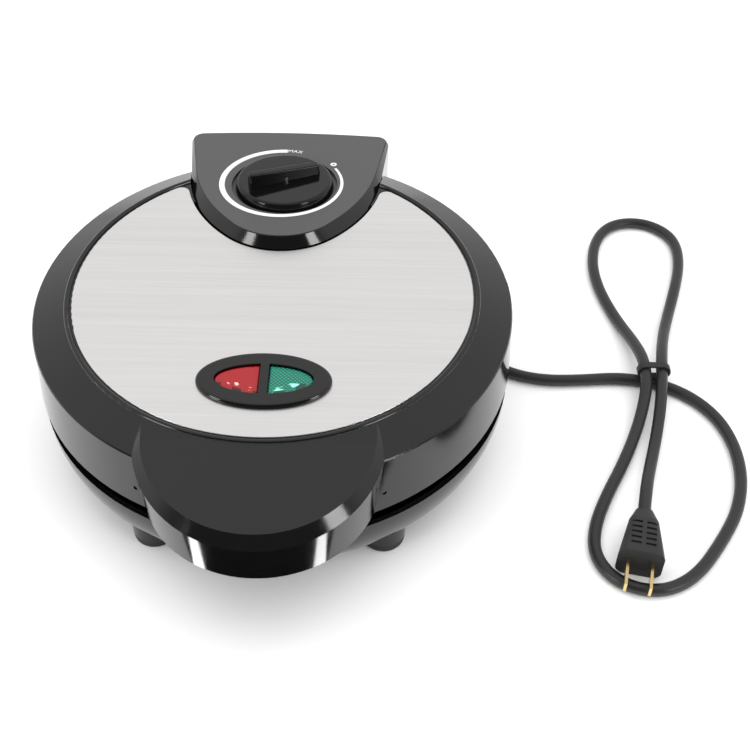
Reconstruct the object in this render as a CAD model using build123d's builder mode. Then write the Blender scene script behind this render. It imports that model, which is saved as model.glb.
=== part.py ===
from build123d import *
import os
from math import asin, atan2, cos, degrees, pi, radians, sin, tan

os.makedirs("parts", exist_ok=True)

# Driving dimensions in millimetres. Heights are above the table. Plan positions
# are measured from the upright axis of the round grill plates, +Y to the rear.
foot_height = 8.0
bowl_height = 36.5
rim_inset = 0.5
wall = 2.6
plate_proud = 4.7
plate_gap = 0.6
plate_radius = 123.4
plate_thickness = 7.0
skirt_height = 34.0
skirt_radius = 129.5
lid_inset = 1.5
ring_rise = 7.6
panel_proud = 0.7
bead_rise = 0.7
ring_inner_radius = 110.6
panel_radius = 106.8
panel_thickness = 0.8
seat_clearance = 0.3
running_clearance = 0.05
edge_round = 0.8
ring_chamfer = 0.6

# Handle, a round form that stands out at the front.
handle_inset = 28.5
handle_radius = 61.0
handle_foot_radius = 58.5
handle_tilt = 9.6
handle_bevel = 12.0
handle_roof_fall = 11.5
handle_roof_inset = 0.6
handle_root_gap = 0.5
handle_foot_drop = 31.0
base_handle_width = 112.0
base_handle_reach = 49.0

cover_screw_x = 26.0
cover_thickness = 2.0
cover_screw_inset = 12.0
handle_boss_height = 28.5
boss_radius = 4.0
small_screw_radius = 1.5
small_head_radius = 2.8
small_head_height = 1.6
seam_hole_angle = 28.0
seam_hole_stand = 1.35
seam_hole_rise = 11.5
seam_hole_radius = 1.2

# Hinge at the rear.
hinge_overhang = 8.5
knuckle_radius = 6.5
pin_radius = 2.5
lug_inner = 22.0
lug_width = 15.0
ear_width = 13.0
lug_clearance = 0.4
relief_rise = 13.0
relief_slope = 8.0
arm_root = 4.2
lug_root_low = 6.0
lug_root_high = 20.0
lug_lip_out = 2.2
lug_lip_rise = 4.7
ear_root_in = 26.0
ear_root_low = 23.0
ear_root_high = 8.0

# Control pod and its dial. Shoulders and hips are places on the pod's outline.
steel_corner_round = 5.0
bush_radius = 4.9
nut_radius = 7.5
nut_thickness = 2.0
knob_skirt_drop = 1.4
knob_wall = 2.0
knob_round = 2.0
knob_boss_radius = 6.0
shaft_grip = 6.0
shaft_drop = 12.0
bush_drop = 0.4
fuse_radius = 2.0
fuse_length = 12.0
fuse_y = 40.0
clip_width = 5.0
clip_thickness = 1.2
clip_tab_length = 11.0
clip_screw_out = 7.0
fuse_screw_length = 4.0
thermostat_length = 24.0
thermostat_width = 18.0
thermostat_height = 14.0
probe_radius = 5.0
probe_foot_radius = 8.0
probe_foot_height = 1.5
pod_screw_x = 52.0
pod_screw_inset = 5.5
pod_screw_depth = 6.0
pod_screw_cover = 0.9
pod_front = 36.5
pod_overhang = 11.8
pod_rise = 6.1
pod_tilt = 4.6
pod_edge_tilt = 2.4
pod_edge_front = 32.7
pod_edge_drop = 0.4
pod_top_shoulder = (25.5, 47.5)
pod_top_hip = (53.6, 106.0)
pod_top_corner = 60.2
pod_foot_shoulder = (27.5, 42.8)
pod_foot_hip = (55.6, 95.5)
pod_foot_corner = 61.4
pod_rear_bow = 3.0
block_front = 108.0
block_drop = 2.0
pod_corner_round = 6.5
pod_seam = 1.6
dial_out = 89.7
knob_skirt_radius = 28.7
knob_disc_radius = 27.4
knob_disc_height = 3.7
grip_half_length = 21.7
grip_width = 5.8
grip_high_end = 8.9
grip_low_end = 4.8
grip_taper = 4.0
grip_corner = 1.6
grip_round = 0.9
grip_turn = 24.0
grip_sink = 0.5
dial_well_radius = 30.9
dial_well_depth = 2.2
shaft_radius = 3.0

# Lamp window in the steel top.
lamp_out = 70.0
bezel_half_length = 33.8
bezel_half_width = 18.6
bezel_flange = 3.3
lens_half_length = 24.7
lens_half_width = 10.3
lens_bar = 4.4
lens_lip = 1.2
lens_dome = 0.8
lens_recess = 1.2
lens_flange = 2.0
lens_seat_depth = 1.6
bezel_rise = 2.4
bezel_round = 1.7
bezel_wall = 1.6
bezel_depth = 9.0
lamp_tray_thickness = 2.5
lamp_radius = 2.0
lamp_length = 12.0
small_screw_length = 10.0
slot_width = 0.7

# Heating and fixings, the same above and below.
element_ring_radius = 85.0
element_tube_radius = 3.2
element_gap_angle = 50.0
post_ring_radius = 97.0
post_radius = 5.5
post_neck_radius = 3.8
post_angles = (45.0, 135.0, 225.0, 315.0)
reflector_rise = 19.0
reflector_radius = 111.0
reflector_thickness = 0.8
screw_radius = 2.0
screw_head_radius = 3.8
screw_head_height = 2.4
screw_bite = 4.5
screw_end_gap = 0.5
lower_screw_recess = 6.0
ledge_margin = 1.5
plate_web = 4.0
plate_back_margin = 1.0
waffle_pitch = 16.0
waffle_lines = 11
waffle_groove = 1.2
waffle_depth = 0.6
waffle_radius = 97.0
drip_ring_radius = 104.0
element_rise = 6.9
element_floor = 3.6
element_leg_top = 26.0
tube_clearance = 0.15
channel_overrun = 3.0
tab_width = 6.3
tab_thickness = 0.8
tab_length = 10.0
insulator_radius = 5.2
insulator_flange = 6.6
insulator_flange_height = 2.0
insulator_length = 8.0
insulator_clearance = 0.2
probe_hole_margin = 2.0
reflector_wall_foot = 10.0
washer_radius = 7.0
washer_thickness = 0.6
upper_gap_at = 90.0
lower_gap_at = 0.0

# Feet and mains cord.
foot_radius = 11.5
foot_x = 61.0
foot_y = 90.0
cord_radius = 3.5
foot_round = 2.5
foot_boss_radius = 11.8
foot_boss_height = 12.0
foot_recess = 2.0
stud_cover = 2.0
stud_radius = 3.0
stud_length = 5.0
cord_exit_x = 28.0
cord_exit_z = 22.0
cord_boss_radius = 9.0
cord_boss_inset = 4.5
cord_boss_length = 12.5
relief_neck_radius = 5.0
relief_collar_radius = 7.0
relief_collar = 2.5
relief_flange_radius = 8.0
relief_flange = 2.5
relief_length = 31.0
relief_root_radius = 6.0
relief_tip_radius = 4.3
relief_core_radius = 4.1
relief_ribs = 5
relief_rib_pitch = 4.6
relief_rib_gap = 1.6
inner_cord_run = 28.0
block_length = 26.0
block_width = 18.0
block_height = 16.0
clamp_inset = 14.0
clamp_spread = 10.0
clamp_thickness = 2.0
lead_radius = 1.1
lead_bend = 5.0
lead_rise = 4.0
cover_screw_length = 5.5
pin_head_radius = 4.0
pin_head_height = 1.5
tie_width = 4.0
tie_thickness = 1.2
tie_strand_pitch = 9.9
plug_neck_radius = 5.0
plug_neck = 9.0
plug_root_width = 16.0
plug_root_height = 16.0
plug_width = 24.0
plug_height = 20.8
plug_corner = 5.0
plug_length = 34.0
plug_grip_pitch = 3.8
plug_grip_rows = 5
plug_grip_spread = 3.8
plug_grip_depth = 2.0
blade_pitch = 12.7
blade_thickness = 1.5
blade_height = 6.3
blade_length = 17.0

# Underside of the base.
opening_radius = 58.0
cover_radius = 66.0
cover_recess = 1.6
cover_screw_ring = 62.0
cover_screw_boss = 3.4
vent_ring = 30.0
vent_count = 12
vent_width = 3.0
vent_length = 16.0
cover_screw_angles = (20.0, 110.0, 200.0, 290.0)
cover_screw_boss_height = 6.0
bowl_floor_radius = 104.0
bowl_turn_radius = 121.0
bowl_turn_z = 17.0
rim_band = 1.0
base_handle_gap = 1.0
base_handle_band = 4.0
base_handle_foot_z = 24.0
base_handle_foot_width = 72.0
base_handle_foot_reach = 22.0
apron_foot_z = 36.0

# Heights and places that follow from the sizes above.
lid_radius = skirt_radius - lid_inset
rim_radius = skirt_radius - rim_inset
handle_out = skirt_radius - handle_inset
hinge_out = skirt_radius + hinge_overhang
pod_rear = hinge_out + pod_overhang
pod_screw_out = skirt_radius - pod_screw_inset
hollow_root = skirt_radius + handle_root_gap
cover_screw_out = hollow_root + cover_screw_inset
cord_boss_face = rim_radius - cord_boss_inset
cord_boss_foot = cord_boss_face - cord_boss_length
clamp_out = cord_boss_foot - clamp_inset
inner_cord_end = cord_boss_foot - inner_cord_run
foot_seat_z = foot_height - foot_recess
foot_boss_top_z = foot_height + foot_boss_height
stud_boss_top_z = foot_seat_z + stud_length + stud_cover
ear_inner = lug_inner + lug_width + lug_clearance
handle_reach = handle_out + handle_radius * cos(radians(handle_tilt))
rear_reach = max(pod_rear, hinge_out + knuckle_radius)
grill_y = (handle_reach - rear_reach) / 2
rim_z = foot_height + bowl_height
lower_face_z = rim_z + plate_proud
upper_face_z = lower_face_z + plate_gap
hinge_z = lower_face_z + plate_gap / 2
skirt_z = upper_face_z + plate_proud
base_handle_top_z = skirt_z - base_handle_gap
edge_z = skirt_z + skirt_height
ring_top_z = edge_z + ring_rise
panel_z = ring_top_z + panel_proud
ledge_z = panel_z - panel_thickness
ledge_inner_radius = post_ring_radius - post_radius - ledge_margin
groove_radius = panel_radius + edge_round
pod_top_z = panel_z + pod_rise
pod_edge_z = panel_z - pod_edge_drop
block_top_z = edge_z - block_drop
lens_top_z = panel_z + bezel_rise - lens_recess
bowl_floor_z = foot_height + wall
lower_screw_seat_z = foot_height + lower_screw_recess
upper_screw_seat_z = ledge_z - screw_head_height - seat_clearance
handle_foot_z = edge_z - handle_foot_drop
relief_out = skirt_radius + seat_clearance
cover_places = [(-cover_screw_x, -cover_screw_out), (cover_screw_x, -cover_screw_out)]
pod_places = [(-pod_screw_x, pod_screw_out), (pod_screw_x, pod_screw_out)]
pod_screw_seat_z = edge_z - pod_screw_depth
pod_screw_top_z = pod_screw_seat_z + small_screw_length

# Planes: the table, the upright section through the plates' axis with radius
# and height as its axes, and the side view with +Y and height as its axes.
table = Plane(origin=(0, grill_y, 0))
section = Plane(origin=(0, grill_y, 0), x_dir=(1, 0, 0), z_dir=(0, -1, 0))
side = Plane(origin=(0, grill_y, 0), x_dir=(0, 1, 0), z_dir=(1, 0, 0))
spin = Axis((0, grill_y, 0), (0, 0, 1))
exit_face = Plane(
    origin=(cord_exit_x, grill_y + cord_boss_face, cord_exit_z), x_dir=(1, 0, 0), z_dir=(0, 1, 0),
)

# Each plate's own frame: zero on the cooking face, heights towards its back.
upper_frame = Plane(origin=(0, grill_y, upper_face_z))
lower_frame = Plane(origin=(0, grill_y, lower_face_z), x_dir=(-1, 0, 0), z_dir=(0, 0, -1))

# The handle's tilted rim plane meets the lid's outer edge at the handle's root.
root_out = (lid_radius**2 - handle_radius**2 + handle_out**2) / (2 * handle_out)
handle_rim_z = edge_z + (root_out - handle_out) * tan(radians(handle_tilt))
handle_rim = Plane(
    origin=(0, grill_y - handle_out, handle_rim_z),
    x_dir=(1, 0, 0),
    z_dir=(0, -sin(radians(handle_tilt)), cos(radians(handle_tilt))),
)

# The pod's top falls to the rear, and the dial stands square on it. The lower
# edge of the pod's sloping band falls less steeply.
pod_top = Plane(
    origin=(0, grill_y + pod_front, pod_top_z),
    x_dir=(1, 0, 0),
    z_dir=(0, sin(radians(pod_tilt)), cos(radians(pod_tilt))),
)
pod_edge = Plane(
    origin=(0, grill_y + pod_edge_front, pod_edge_z),
    x_dir=(1, 0, 0),
    z_dir=(0, sin(radians(pod_edge_tilt)), cos(radians(pod_edge_tilt))),
)
dial = Plane(
    origin=(0, grill_y + dial_out, pod_top_z - (dial_out - pod_front) * tan(radians(pod_tilt))),
    x_dir=(1, 0, 0),
    z_dir=(0, sin(radians(pod_tilt)), cos(radians(pod_tilt))),
)


def pod_outline(front, shoulder, hip, corner, rear, corner_round):
    """Plan of the pod: a round nose, two long flanks and a bowed rear edge."""
    with BuildSketch() as outline:
        with BuildLine() as edge:
            ThreePointArc((-shoulder[0], shoulder[1]), (0, front), shoulder)
            chord = Vector(*shoulder) - Vector(0, front)
            lean = 2 * degrees(asin(chord.Y / chord.length))
            flank = (cos(radians(lean)), sin(radians(lean)))
            TangentArc(shoulder, hip, tangent=flank)
            Line(hip, corner)
            ThreePointArc(corner, (0, rear), (-corner[0], corner[1]))
            Line((-corner[0], corner[1]), (-hip[0], hip[1]))
            TangentArc((-shoulder[0], shoulder[1]), (-hip[0], hip[1]), tangent=(-flank[0], flank[1]))
        make_face()
        fillet(outline.vertices().sort_by(Axis.Y)[-2:], corner_round)
    return outline.sketch


def pod_outline_at(front, shoulder, hip, corner_x, grow):
    """One of the pod's outlines, set out by grow all round."""
    slant = grow * cos(radians(45))
    return pod_outline(
        front - grow, (shoulder[0] + slant, shoulder[1] - slant), (hip[0] + grow, hip[1]),
        (corner_x + grow, pod_rear - pod_rear_bow), pod_rear + grow, pod_corner_round,
    )


def pod_top_outline(grow):
    """The pod's matt top face in plan."""
    return pod_outline_at(pod_front, pod_top_shoulder, pod_top_hip, pod_top_corner, grow)


def pod_foot_outline(grow):
    """The pod's walls in plan."""
    return pod_outline_at(pod_edge_front, pod_foot_shoulder, pod_foot_hip, pod_foot_corner, grow)


def pod_form(grow, drop):
    """The pod's solid: upright walls, then a band that slopes in to the top face."""
    with BuildPart() as form:
        with BuildSketch(table.offset(block_top_z - drop)):
            add(pod_foot_outline(grow))
        with BuildSketch(pod_edge.offset(-drop)):
            with Locations((0, -pod_edge_front)):
                add(pod_foot_outline(grow))
        with BuildSketch(pod_top.offset(-drop)):
            with Locations((0, -pod_front)):
                add(pod_top_outline(grow))
        loft(ruled=True)
    return form.part


def ring_of(angles, radius):
    """Places on a circle in the current plane, one for each angle."""
    return [(radius * cos(radians(a)), radius * sin(radians(a))) for a in angles]


# Lid housing. The glossy ring, its skirt, the round handle form at the front
# and the block under the pod are one moulding with an open underside.
with BuildPart() as upper_handle_form:
    with BuildSketch(handle_rim):
        Circle(handle_radius)
    with BuildSketch(Plane(origin=(0, grill_y - handle_out, handle_foot_z))):
        Circle(handle_foot_radius)
    loft()
    with BuildSketch(handle_rim):
        Circle(handle_radius)
    extrude(amount=handle_bevel, taper=45)
    with BuildSketch(section):
        with BuildLine():
            roof_start = groove_radius + handle_roof_inset
            roof_end = handle_out + handle_radius + wall
            roof_fall = tan(radians(handle_roof_fall))
            Polyline(
                (roof_start, handle_foot_z), (roof_end, handle_foot_z),
                (roof_end, panel_z - roof_fall * (roof_end - roof_start)),
                (roof_start, panel_z), close=True,
            )
        make_face()
    revolve(axis=spin, mode=Mode.INTERSECT)

with BuildPart() as handle_hollow_form:
    with BuildSketch(handle_rim.offset(-wall)):
        Circle(handle_radius - wall)
    with BuildSketch(Plane(origin=(0, grill_y - handle_out, handle_foot_z - 1))):
        Circle(handle_foot_radius - wall)
    loft()
    with BuildSketch(section):
        with BuildLine():
            Polyline(
                (hollow_root, handle_foot_z - 2), (roof_end, handle_foot_z - 2),
                (roof_end, panel_z - roof_fall * (roof_end - roof_start) - wall),
                (hollow_root, panel_z - roof_fall * (hollow_root - roof_start) - wall), close=True,
            )
        make_face()
    revolve(axis=spin, mode=Mode.INTERSECT)

# A pocket under the hood keeps the block's walls even. Its floor runs along the
# block's underside.
relief_top_z = hinge_z + relief_rise
with BuildPart() as block_pocket:
    with BuildSketch(table.offset(relief_top_z)):
        add(pod_foot_outline(-wall))
    extrude(amount=block_top_z - relief_top_z + 1)
    with BuildSketch(side):
        with BuildLine():
            Polyline(
                (relief_out + wall, block_top_z + 1), (relief_out + wall, relief_top_z + 2 * wall),
                (pod_rear, relief_top_z + relief_slope + wall), (pod_rear, block_top_z + 1),
                close=True,
            )
        make_face()
    extrude(amount=lid_radius, both=True, mode=Mode.INTERSECT)

with BuildPart() as lid_housing:
    with BuildSketch(section) as ring_profile:
        with BuildLine():
            l1 = Polyline((0, ledge_z), (groove_radius, ledge_z), (groove_radius, ring_top_z))
            ThreePointArc(
                l1 @ 1, ((groove_radius + ring_inner_radius) / 2, panel_z + bead_rise),
                (ring_inner_radius, ring_top_z),
            )
            Polyline(
                (ring_inner_radius, ring_top_z), (lid_radius, edge_z), (skirt_radius, skirt_z),
                (0, skirt_z), (0, ledge_z),
            )
        make_face()
        chamfer(ring_profile.vertices().sort_by_distance((lid_radius, edge_z))[0], ring_chamfer)
    revolve(axis=spin)
    add(upper_handle_form.part)
    with BuildSketch(table.offset(skirt_z)):
        add(pod_foot_outline(0))
        with Locations((0, block_front / 2)):
            Rectangle(2 * lid_radius, block_front, mode=Mode.SUBTRACT)
    extrude(amount=block_top_z - skirt_z)
    with BuildSketch(section):
        with BuildLine():
            ceiling_z = ledge_z - wall
            Polyline(
                (0, ledge_z + 1), (ledge_inner_radius, ledge_z + 1), (ledge_inner_radius, ceiling_z),
                (ring_inner_radius - wall, ceiling_z), (lid_radius - wall, edge_z - wall),
                (skirt_radius - wall, skirt_z), (skirt_radius - wall, skirt_z - 1),
                (0, skirt_z - 1), close=True,
            )
        make_face()
    revolve(axis=spin, mode=Mode.SUBTRACT)
    add(handle_hollow_form.part, mode=Mode.SUBTRACT)
    # The pod stands in this opening.
    with BuildSketch(table.offset(block_top_z)):
        add(pod_foot_outline(seat_clearance))
    extrude(amount=pod_top_z - block_top_z, mode=Mode.SUBTRACT)
    # Posts that carry the upper plate hang from the ledge.
    with BuildSketch(upper_frame.offset(reflector_rise)):
        with Locations(*ring_of(post_angles, post_ring_radius)):
            Circle(post_radius)
    extrude(amount=ceiling_z - upper_face_z - reflector_rise)
    with BuildSketch(upper_frame.offset(plate_thickness)):
        with Locations(*ring_of(post_angles, post_ring_radius)):
            Circle(post_neck_radius)
    extrude(amount=reflector_rise - plate_thickness)
    with BuildSketch(upper_frame.offset(plate_thickness)):
        with Locations(*ring_of(post_angles, post_ring_radius)):
            Circle(screw_radius + running_clearance)
    extrude(amount=ledge_z - upper_face_z, mode=Mode.SUBTRACT)
    with BuildSketch(table.offset(upper_screw_seat_z)):
        with Locations(*ring_of(post_angles, post_ring_radius)):
            Circle(screw_head_radius + seat_clearance)
    extrude(amount=screw_head_height + 1, mode=Mode.SUBTRACT)
    # Behind the skirt the block is cut back, so that the base's ears swing clear.
    with BuildSketch(side):
        with BuildLine():
            Polyline(
                (relief_out, skirt_z - 1), (pod_rear + 5, skirt_z - 1),
                (pod_rear + 5, relief_top_z + relief_slope), (relief_out, relief_top_z),
                close=True,
            )
        make_face()
    extrude(amount=lid_radius, both=True, mode=Mode.SUBTRACT)
    add(block_pocket.part, mode=Mode.SUBTRACT)
    # Bosses for the handle's cover hang from the roof of the handle.
    with BuildSketch(table.offset(handle_foot_z + cover_thickness)):
        with Locations(*cover_places):
            Circle(boss_radius)
    extrude(amount=handle_boss_height)
    with BuildSketch(table.offset(handle_foot_z + cover_thickness)):
        with Locations(*cover_places):
            Circle(small_screw_radius + running_clearance)
    extrude(amount=small_screw_length, mode=Mode.SUBTRACT)
    # The pod's screws come up through the block from below.
    with BuildSketch(table.offset(skirt_z)):
        with Locations(*pod_places):
            Circle(small_head_radius + seat_clearance)
    extrude(amount=pod_screw_seat_z - skirt_z, mode=Mode.SUBTRACT)
    with BuildSketch(table.offset(skirt_z)):
        with Locations(*pod_places):
            Circle(small_screw_radius + running_clearance)
    extrude(amount=pod_top_z - skirt_z, mode=Mode.SUBTRACT)
    # A small blind hole sits on the seam at each root of the handle.
    for sign in (-1, 1):
        across = sign * sin(radians(seam_hole_angle))
        ahead = -cos(radians(seam_hole_angle))
        seam_out = skirt_radius + seam_hole_stand
        seam = Plane(
            origin=(seam_out * across, grill_y + seam_out * ahead, skirt_z + seam_hole_rise),
            z_dir=(across, ahead, 0),
        )
        with BuildSketch(seam):
            Circle(seam_hole_radius)
        extrude(amount=2 * seam_hole_radius, both=True, mode=Mode.SUBTRACT)
    # Two hinge lugs reach back from the rear block to the pin's axis.
    for sign in (-1, 1):
        with BuildSketch(side.offset(sign * (lug_inner + lug_width / 2))):
            with BuildLine():
                Polyline(
                    (skirt_radius - 1, hinge_z + lug_root_low), (skirt_radius - 1, hinge_z + lug_root_high),
                    (hinge_out + arm_root, hinge_z + arm_root), (hinge_out - arm_root, hinge_z - arm_root),
                    (skirt_radius + lug_lip_out, hinge_z + lug_lip_rise), close=True,
                )
            make_face()
            with Locations((hinge_out, hinge_z)):
                Circle(knuckle_radius)
        extrude(amount=lug_width / 2, both=True)
        with BuildSketch(side.offset(sign * (lug_inner + lug_width / 2))):
            with Locations((hinge_out, hinge_z)):
                Circle(pin_radius + running_clearance)
        extrude(amount=lug_width / 2, both=True, mode=Mode.SUBTRACT)
lid_housing.part.label = "lid_housing"
export_step(lid_housing.part, "parts/lid_housing.step")


# Steel top. A thin brushed sheet with a rolled edge, cut round the pod and
# pierced for the lamp window. It lies on the housing's ledge.
bezel_neck_length = bezel_half_length - bezel_flange
bezel_neck_width = bezel_half_width - bezel_flange
with BuildPart() as steel_top:
    with BuildSketch(table.offset(ledge_z)) as sheet:
        Circle(panel_radius)
        add(pod_foot_outline(pod_seam), mode=Mode.SUBTRACT)
        with Locations((0, -lamp_out)):
            Ellipse(bezel_neck_length + seat_clearance, bezel_neck_width + seat_clearance, mode=Mode.SUBTRACT)
        fillet(sheet.vertices().sort_by(Axis.Y)[-2:], steel_corner_round)
    extrude(amount=panel_thickness)
    rim = steel_top.faces().sort_by(Axis.Z)[-1].outer_wire()
    fillet(rim.edges(), panel_thickness * 0.85)
steel_top.part.label = "steel_top"
export_step(steel_top.part, "parts/steel_top.step")

# Control pod. A hood with a tilted matt top and a shallow well for the dial.
# It stands on the housing's rear block.
with BuildPart() as control_pod:
    add(pod_form(0, 0))
    fillet(control_pod.faces().sort_by(Axis.Z)[-1].outer_wire().edges(), edge_round)
    add(pod_form(-wall, wall), mode=Mode.SUBTRACT)
    with BuildSketch(dial.offset(-dial_well_depth - wall)):
        Circle(dial_well_radius + wall)
    extrude(amount=dial_well_depth + wall / 2)
    with BuildSketch(dial.offset(-dial_well_depth)):
        Circle(dial_well_radius)
    extrude(amount=dial_well_depth + 1, mode=Mode.SUBTRACT)
    with BuildSketch(dial.offset(-dial_well_depth - wall)):
        Circle(bush_radius + running_clearance)
    extrude(amount=wall, mode=Mode.SUBTRACT)
    with BuildSketch(table.offset(block_top_z)):
        with Locations(*pod_places):
            Circle(boss_radius)
    extrude(amount=pod_screw_top_z - block_top_z + pod_screw_cover)
    with BuildSketch(table.offset(block_top_z)):
        with Locations(*pod_places):
            Circle(small_screw_radius + running_clearance)
    extrude(amount=pod_screw_top_z - block_top_z + seat_clearance, mode=Mode.SUBTRACT)
control_pod.part.label = "control_pod"
export_step(control_pod.part, "parts/control_pod.step")

# Lamp window. An oval bezel clips into the steel and holds two lenses, with a
# tray below it for the two neon lamps.
bezel_top_z = panel_z + bezel_rise
bezel_foot_z = panel_z - bezel_depth
lens_seat_z = panel_z - lens_seat_depth
window = Plane(origin=(0, grill_y - lamp_out, 0))


def half_oval(sign, grow, edge):
    """Half of the window's oval on one side, cut straight at the middle bar."""
    with BuildSketch() as half:
        Ellipse(lens_half_length + grow, lens_half_width + grow)
        with Locations((sign * (edge - lens_half_length), 0)):
            Rectangle(2 * lens_half_length, 4 * lens_half_width, mode=Mode.SUBTRACT)
    return half.sketch


def lens(sign):
    """One lens: a half oval with a rounded top and a flange that seats below."""
    with BuildPart() as body:
        with BuildSketch(window.offset(lens_seat_z - lens_flange)):
            add(half_oval(sign, lens_lip, lens_bar / 2 - lens_lip))
        extrude(amount=lens_flange)
        with BuildSketch(window.offset(lens_seat_z)):
            add(half_oval(sign, -seat_clearance, lens_bar / 2 + seat_clearance))
        extrude(amount=lens_top_z - lens_seat_z)
        fillet(body.faces().sort_by(Axis.Z)[-1].outer_wire().edges(), lens_dome)
    return body.part


with BuildPart() as lamp_bezel:
    with BuildSketch(window.offset(panel_z)):
        Ellipse(bezel_half_length, bezel_half_width)
    extrude(amount=bezel_rise)
    fillet(lamp_bezel.faces().sort_by(Axis.Z)[-1].outer_wire().edges(), bezel_round)
    with BuildSketch(window.offset(bezel_foot_z)):
        Ellipse(bezel_neck_length, bezel_neck_width)
    extrude(amount=bezel_depth)
    with BuildSketch(window.offset(bezel_foot_z)):
        Ellipse(bezel_neck_length - bezel_wall, bezel_neck_width - bezel_wall)
    extrude(amount=lens_seat_z - bezel_foot_z, mode=Mode.SUBTRACT)
    with BuildSketch(window.offset(lens_seat_z)):
        for sign in (-1, 1):
            add(half_oval(sign, 0, lens_bar / 2))
    extrude(amount=bezel_top_z - lens_seat_z + 1, mode=Mode.SUBTRACT)
lamp_bezel.part.label = "lamp_bezel"
export_step(lamp_bezel.part, "parts/lamp_bezel.step")

red_lens = lens(-1)
red_lens.label = "red_lens"
export_step(red_lens, "parts/red_lens.step")
green_lens = lens(1)
green_lens.label = "green_lens"
export_step(green_lens, "parts/green_lens.step")

with BuildPart() as lamp_tray:
    with BuildSketch(window.offset(bezel_foot_z - lamp_tray_thickness)):
        Ellipse(bezel_neck_length, bezel_neck_width)
    extrude(amount=lamp_tray_thickness)
    with BuildSketch(window.offset(bezel_foot_z)):
        Rectangle(lens_bar, 2 * lens_half_width)
    extrude(amount=lens_seat_z - lens_flange - bezel_foot_z)
lamp_tray.part.label = "lamp_tray"
export_step(lamp_tray.part, "parts/lamp_tray.step")

with BuildPart() as neon_lamps:
    for sign in (-1, 1):
        lamp_foot = Plane(
            origin=(sign * (lens_bar / 2), grill_y - lamp_out, bezel_foot_z + lamp_radius),
            z_dir=(sign, 0, 0),
        )
        with BuildSketch(lamp_foot):
            Circle(lamp_radius)
        extrude(amount=lamp_length)
        tip = neon_lamps.faces().filter_by(Axis.X).sort_by(Axis.X)[-1 if sign > 0 else 0]
        fillet(tip.edges(), lamp_radius * 0.8)
neon_lamps.part.label = "neon_lamps"
export_step(neon_lamps.part, "parts/neon_lamps.step")

# Handle cover. It closes the hollow handle from below with two screws.
with BuildPart() as handle_cover:
    with BuildSketch(Plane(origin=(0, grill_y - handle_out, handle_foot_z))):
        Circle(handle_foot_radius - wall - seat_clearance)
        with Locations((0, handle_out)):
            Circle(hollow_root + seat_clearance, mode=Mode.SUBTRACT)
    extrude(amount=cover_thickness)
    with BuildSketch(table.offset(handle_foot_z)):
        with Locations(*cover_places):
            Circle(small_screw_radius + running_clearance)
    extrude(amount=cover_thickness, mode=Mode.SUBTRACT)
handle_cover.part.label = "handle_cover"
export_step(handle_cover.part, "parts/handle_cover.step")


def small_screws(places, seat_z, reach, up):
    """Small pan-head screws whose heads seat at seat_z and reach up or down."""
    with BuildPart() as screws:
        for x, y in places:
            way = 1 if up else -1
            seat = Plane(origin=(x, grill_y + y, seat_z), z_dir=(0, 0, way))
            with BuildSketch(seat):
                Circle(small_screw_radius)
            extrude(amount=reach)
            with BuildSketch(seat):
                Circle(small_head_radius)
            extrude(amount=-small_head_height)
            with BuildSketch(seat.offset(-small_head_height)):
                Rectangle(small_head_radius, slot_width)
                Rectangle(slot_width, small_head_radius)
            extrude(amount=small_head_height / 2, mode=Mode.SUBTRACT)
    return screws.part


handle_screws = small_screws(cover_places, handle_foot_z, small_screw_length, True)
handle_screws.label = "handle_screws"
export_step(handle_screws, "parts/handle_screws.step")

pod_screws = small_screws(pod_places, pod_screw_seat_z, small_screw_length, True)
pod_screws.label = "pod_screws"
export_step(pod_screws, "parts/pod_screws.step")


# Grill plates. Each is cast with a waffle of fine grooves on its cooking face,
# a channel for the element and four blind screw holes in its back.
def element_profile(frame, angle):
    """The upright plane that cuts the element's ring at one angle."""
    outward = frame.x_dir * cos(radians(angle)) + frame.y_dir * sin(radians(angle))
    return Plane(origin=frame.origin, x_dir=outward, z_dir=outward.cross(frame.z_dir))


def element_ends(gap_at):
    """The angles where the element's ring starts and stops."""
    return (gap_at + element_gap_angle / 2, gap_at + 360 - element_gap_angle / 2)


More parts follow.
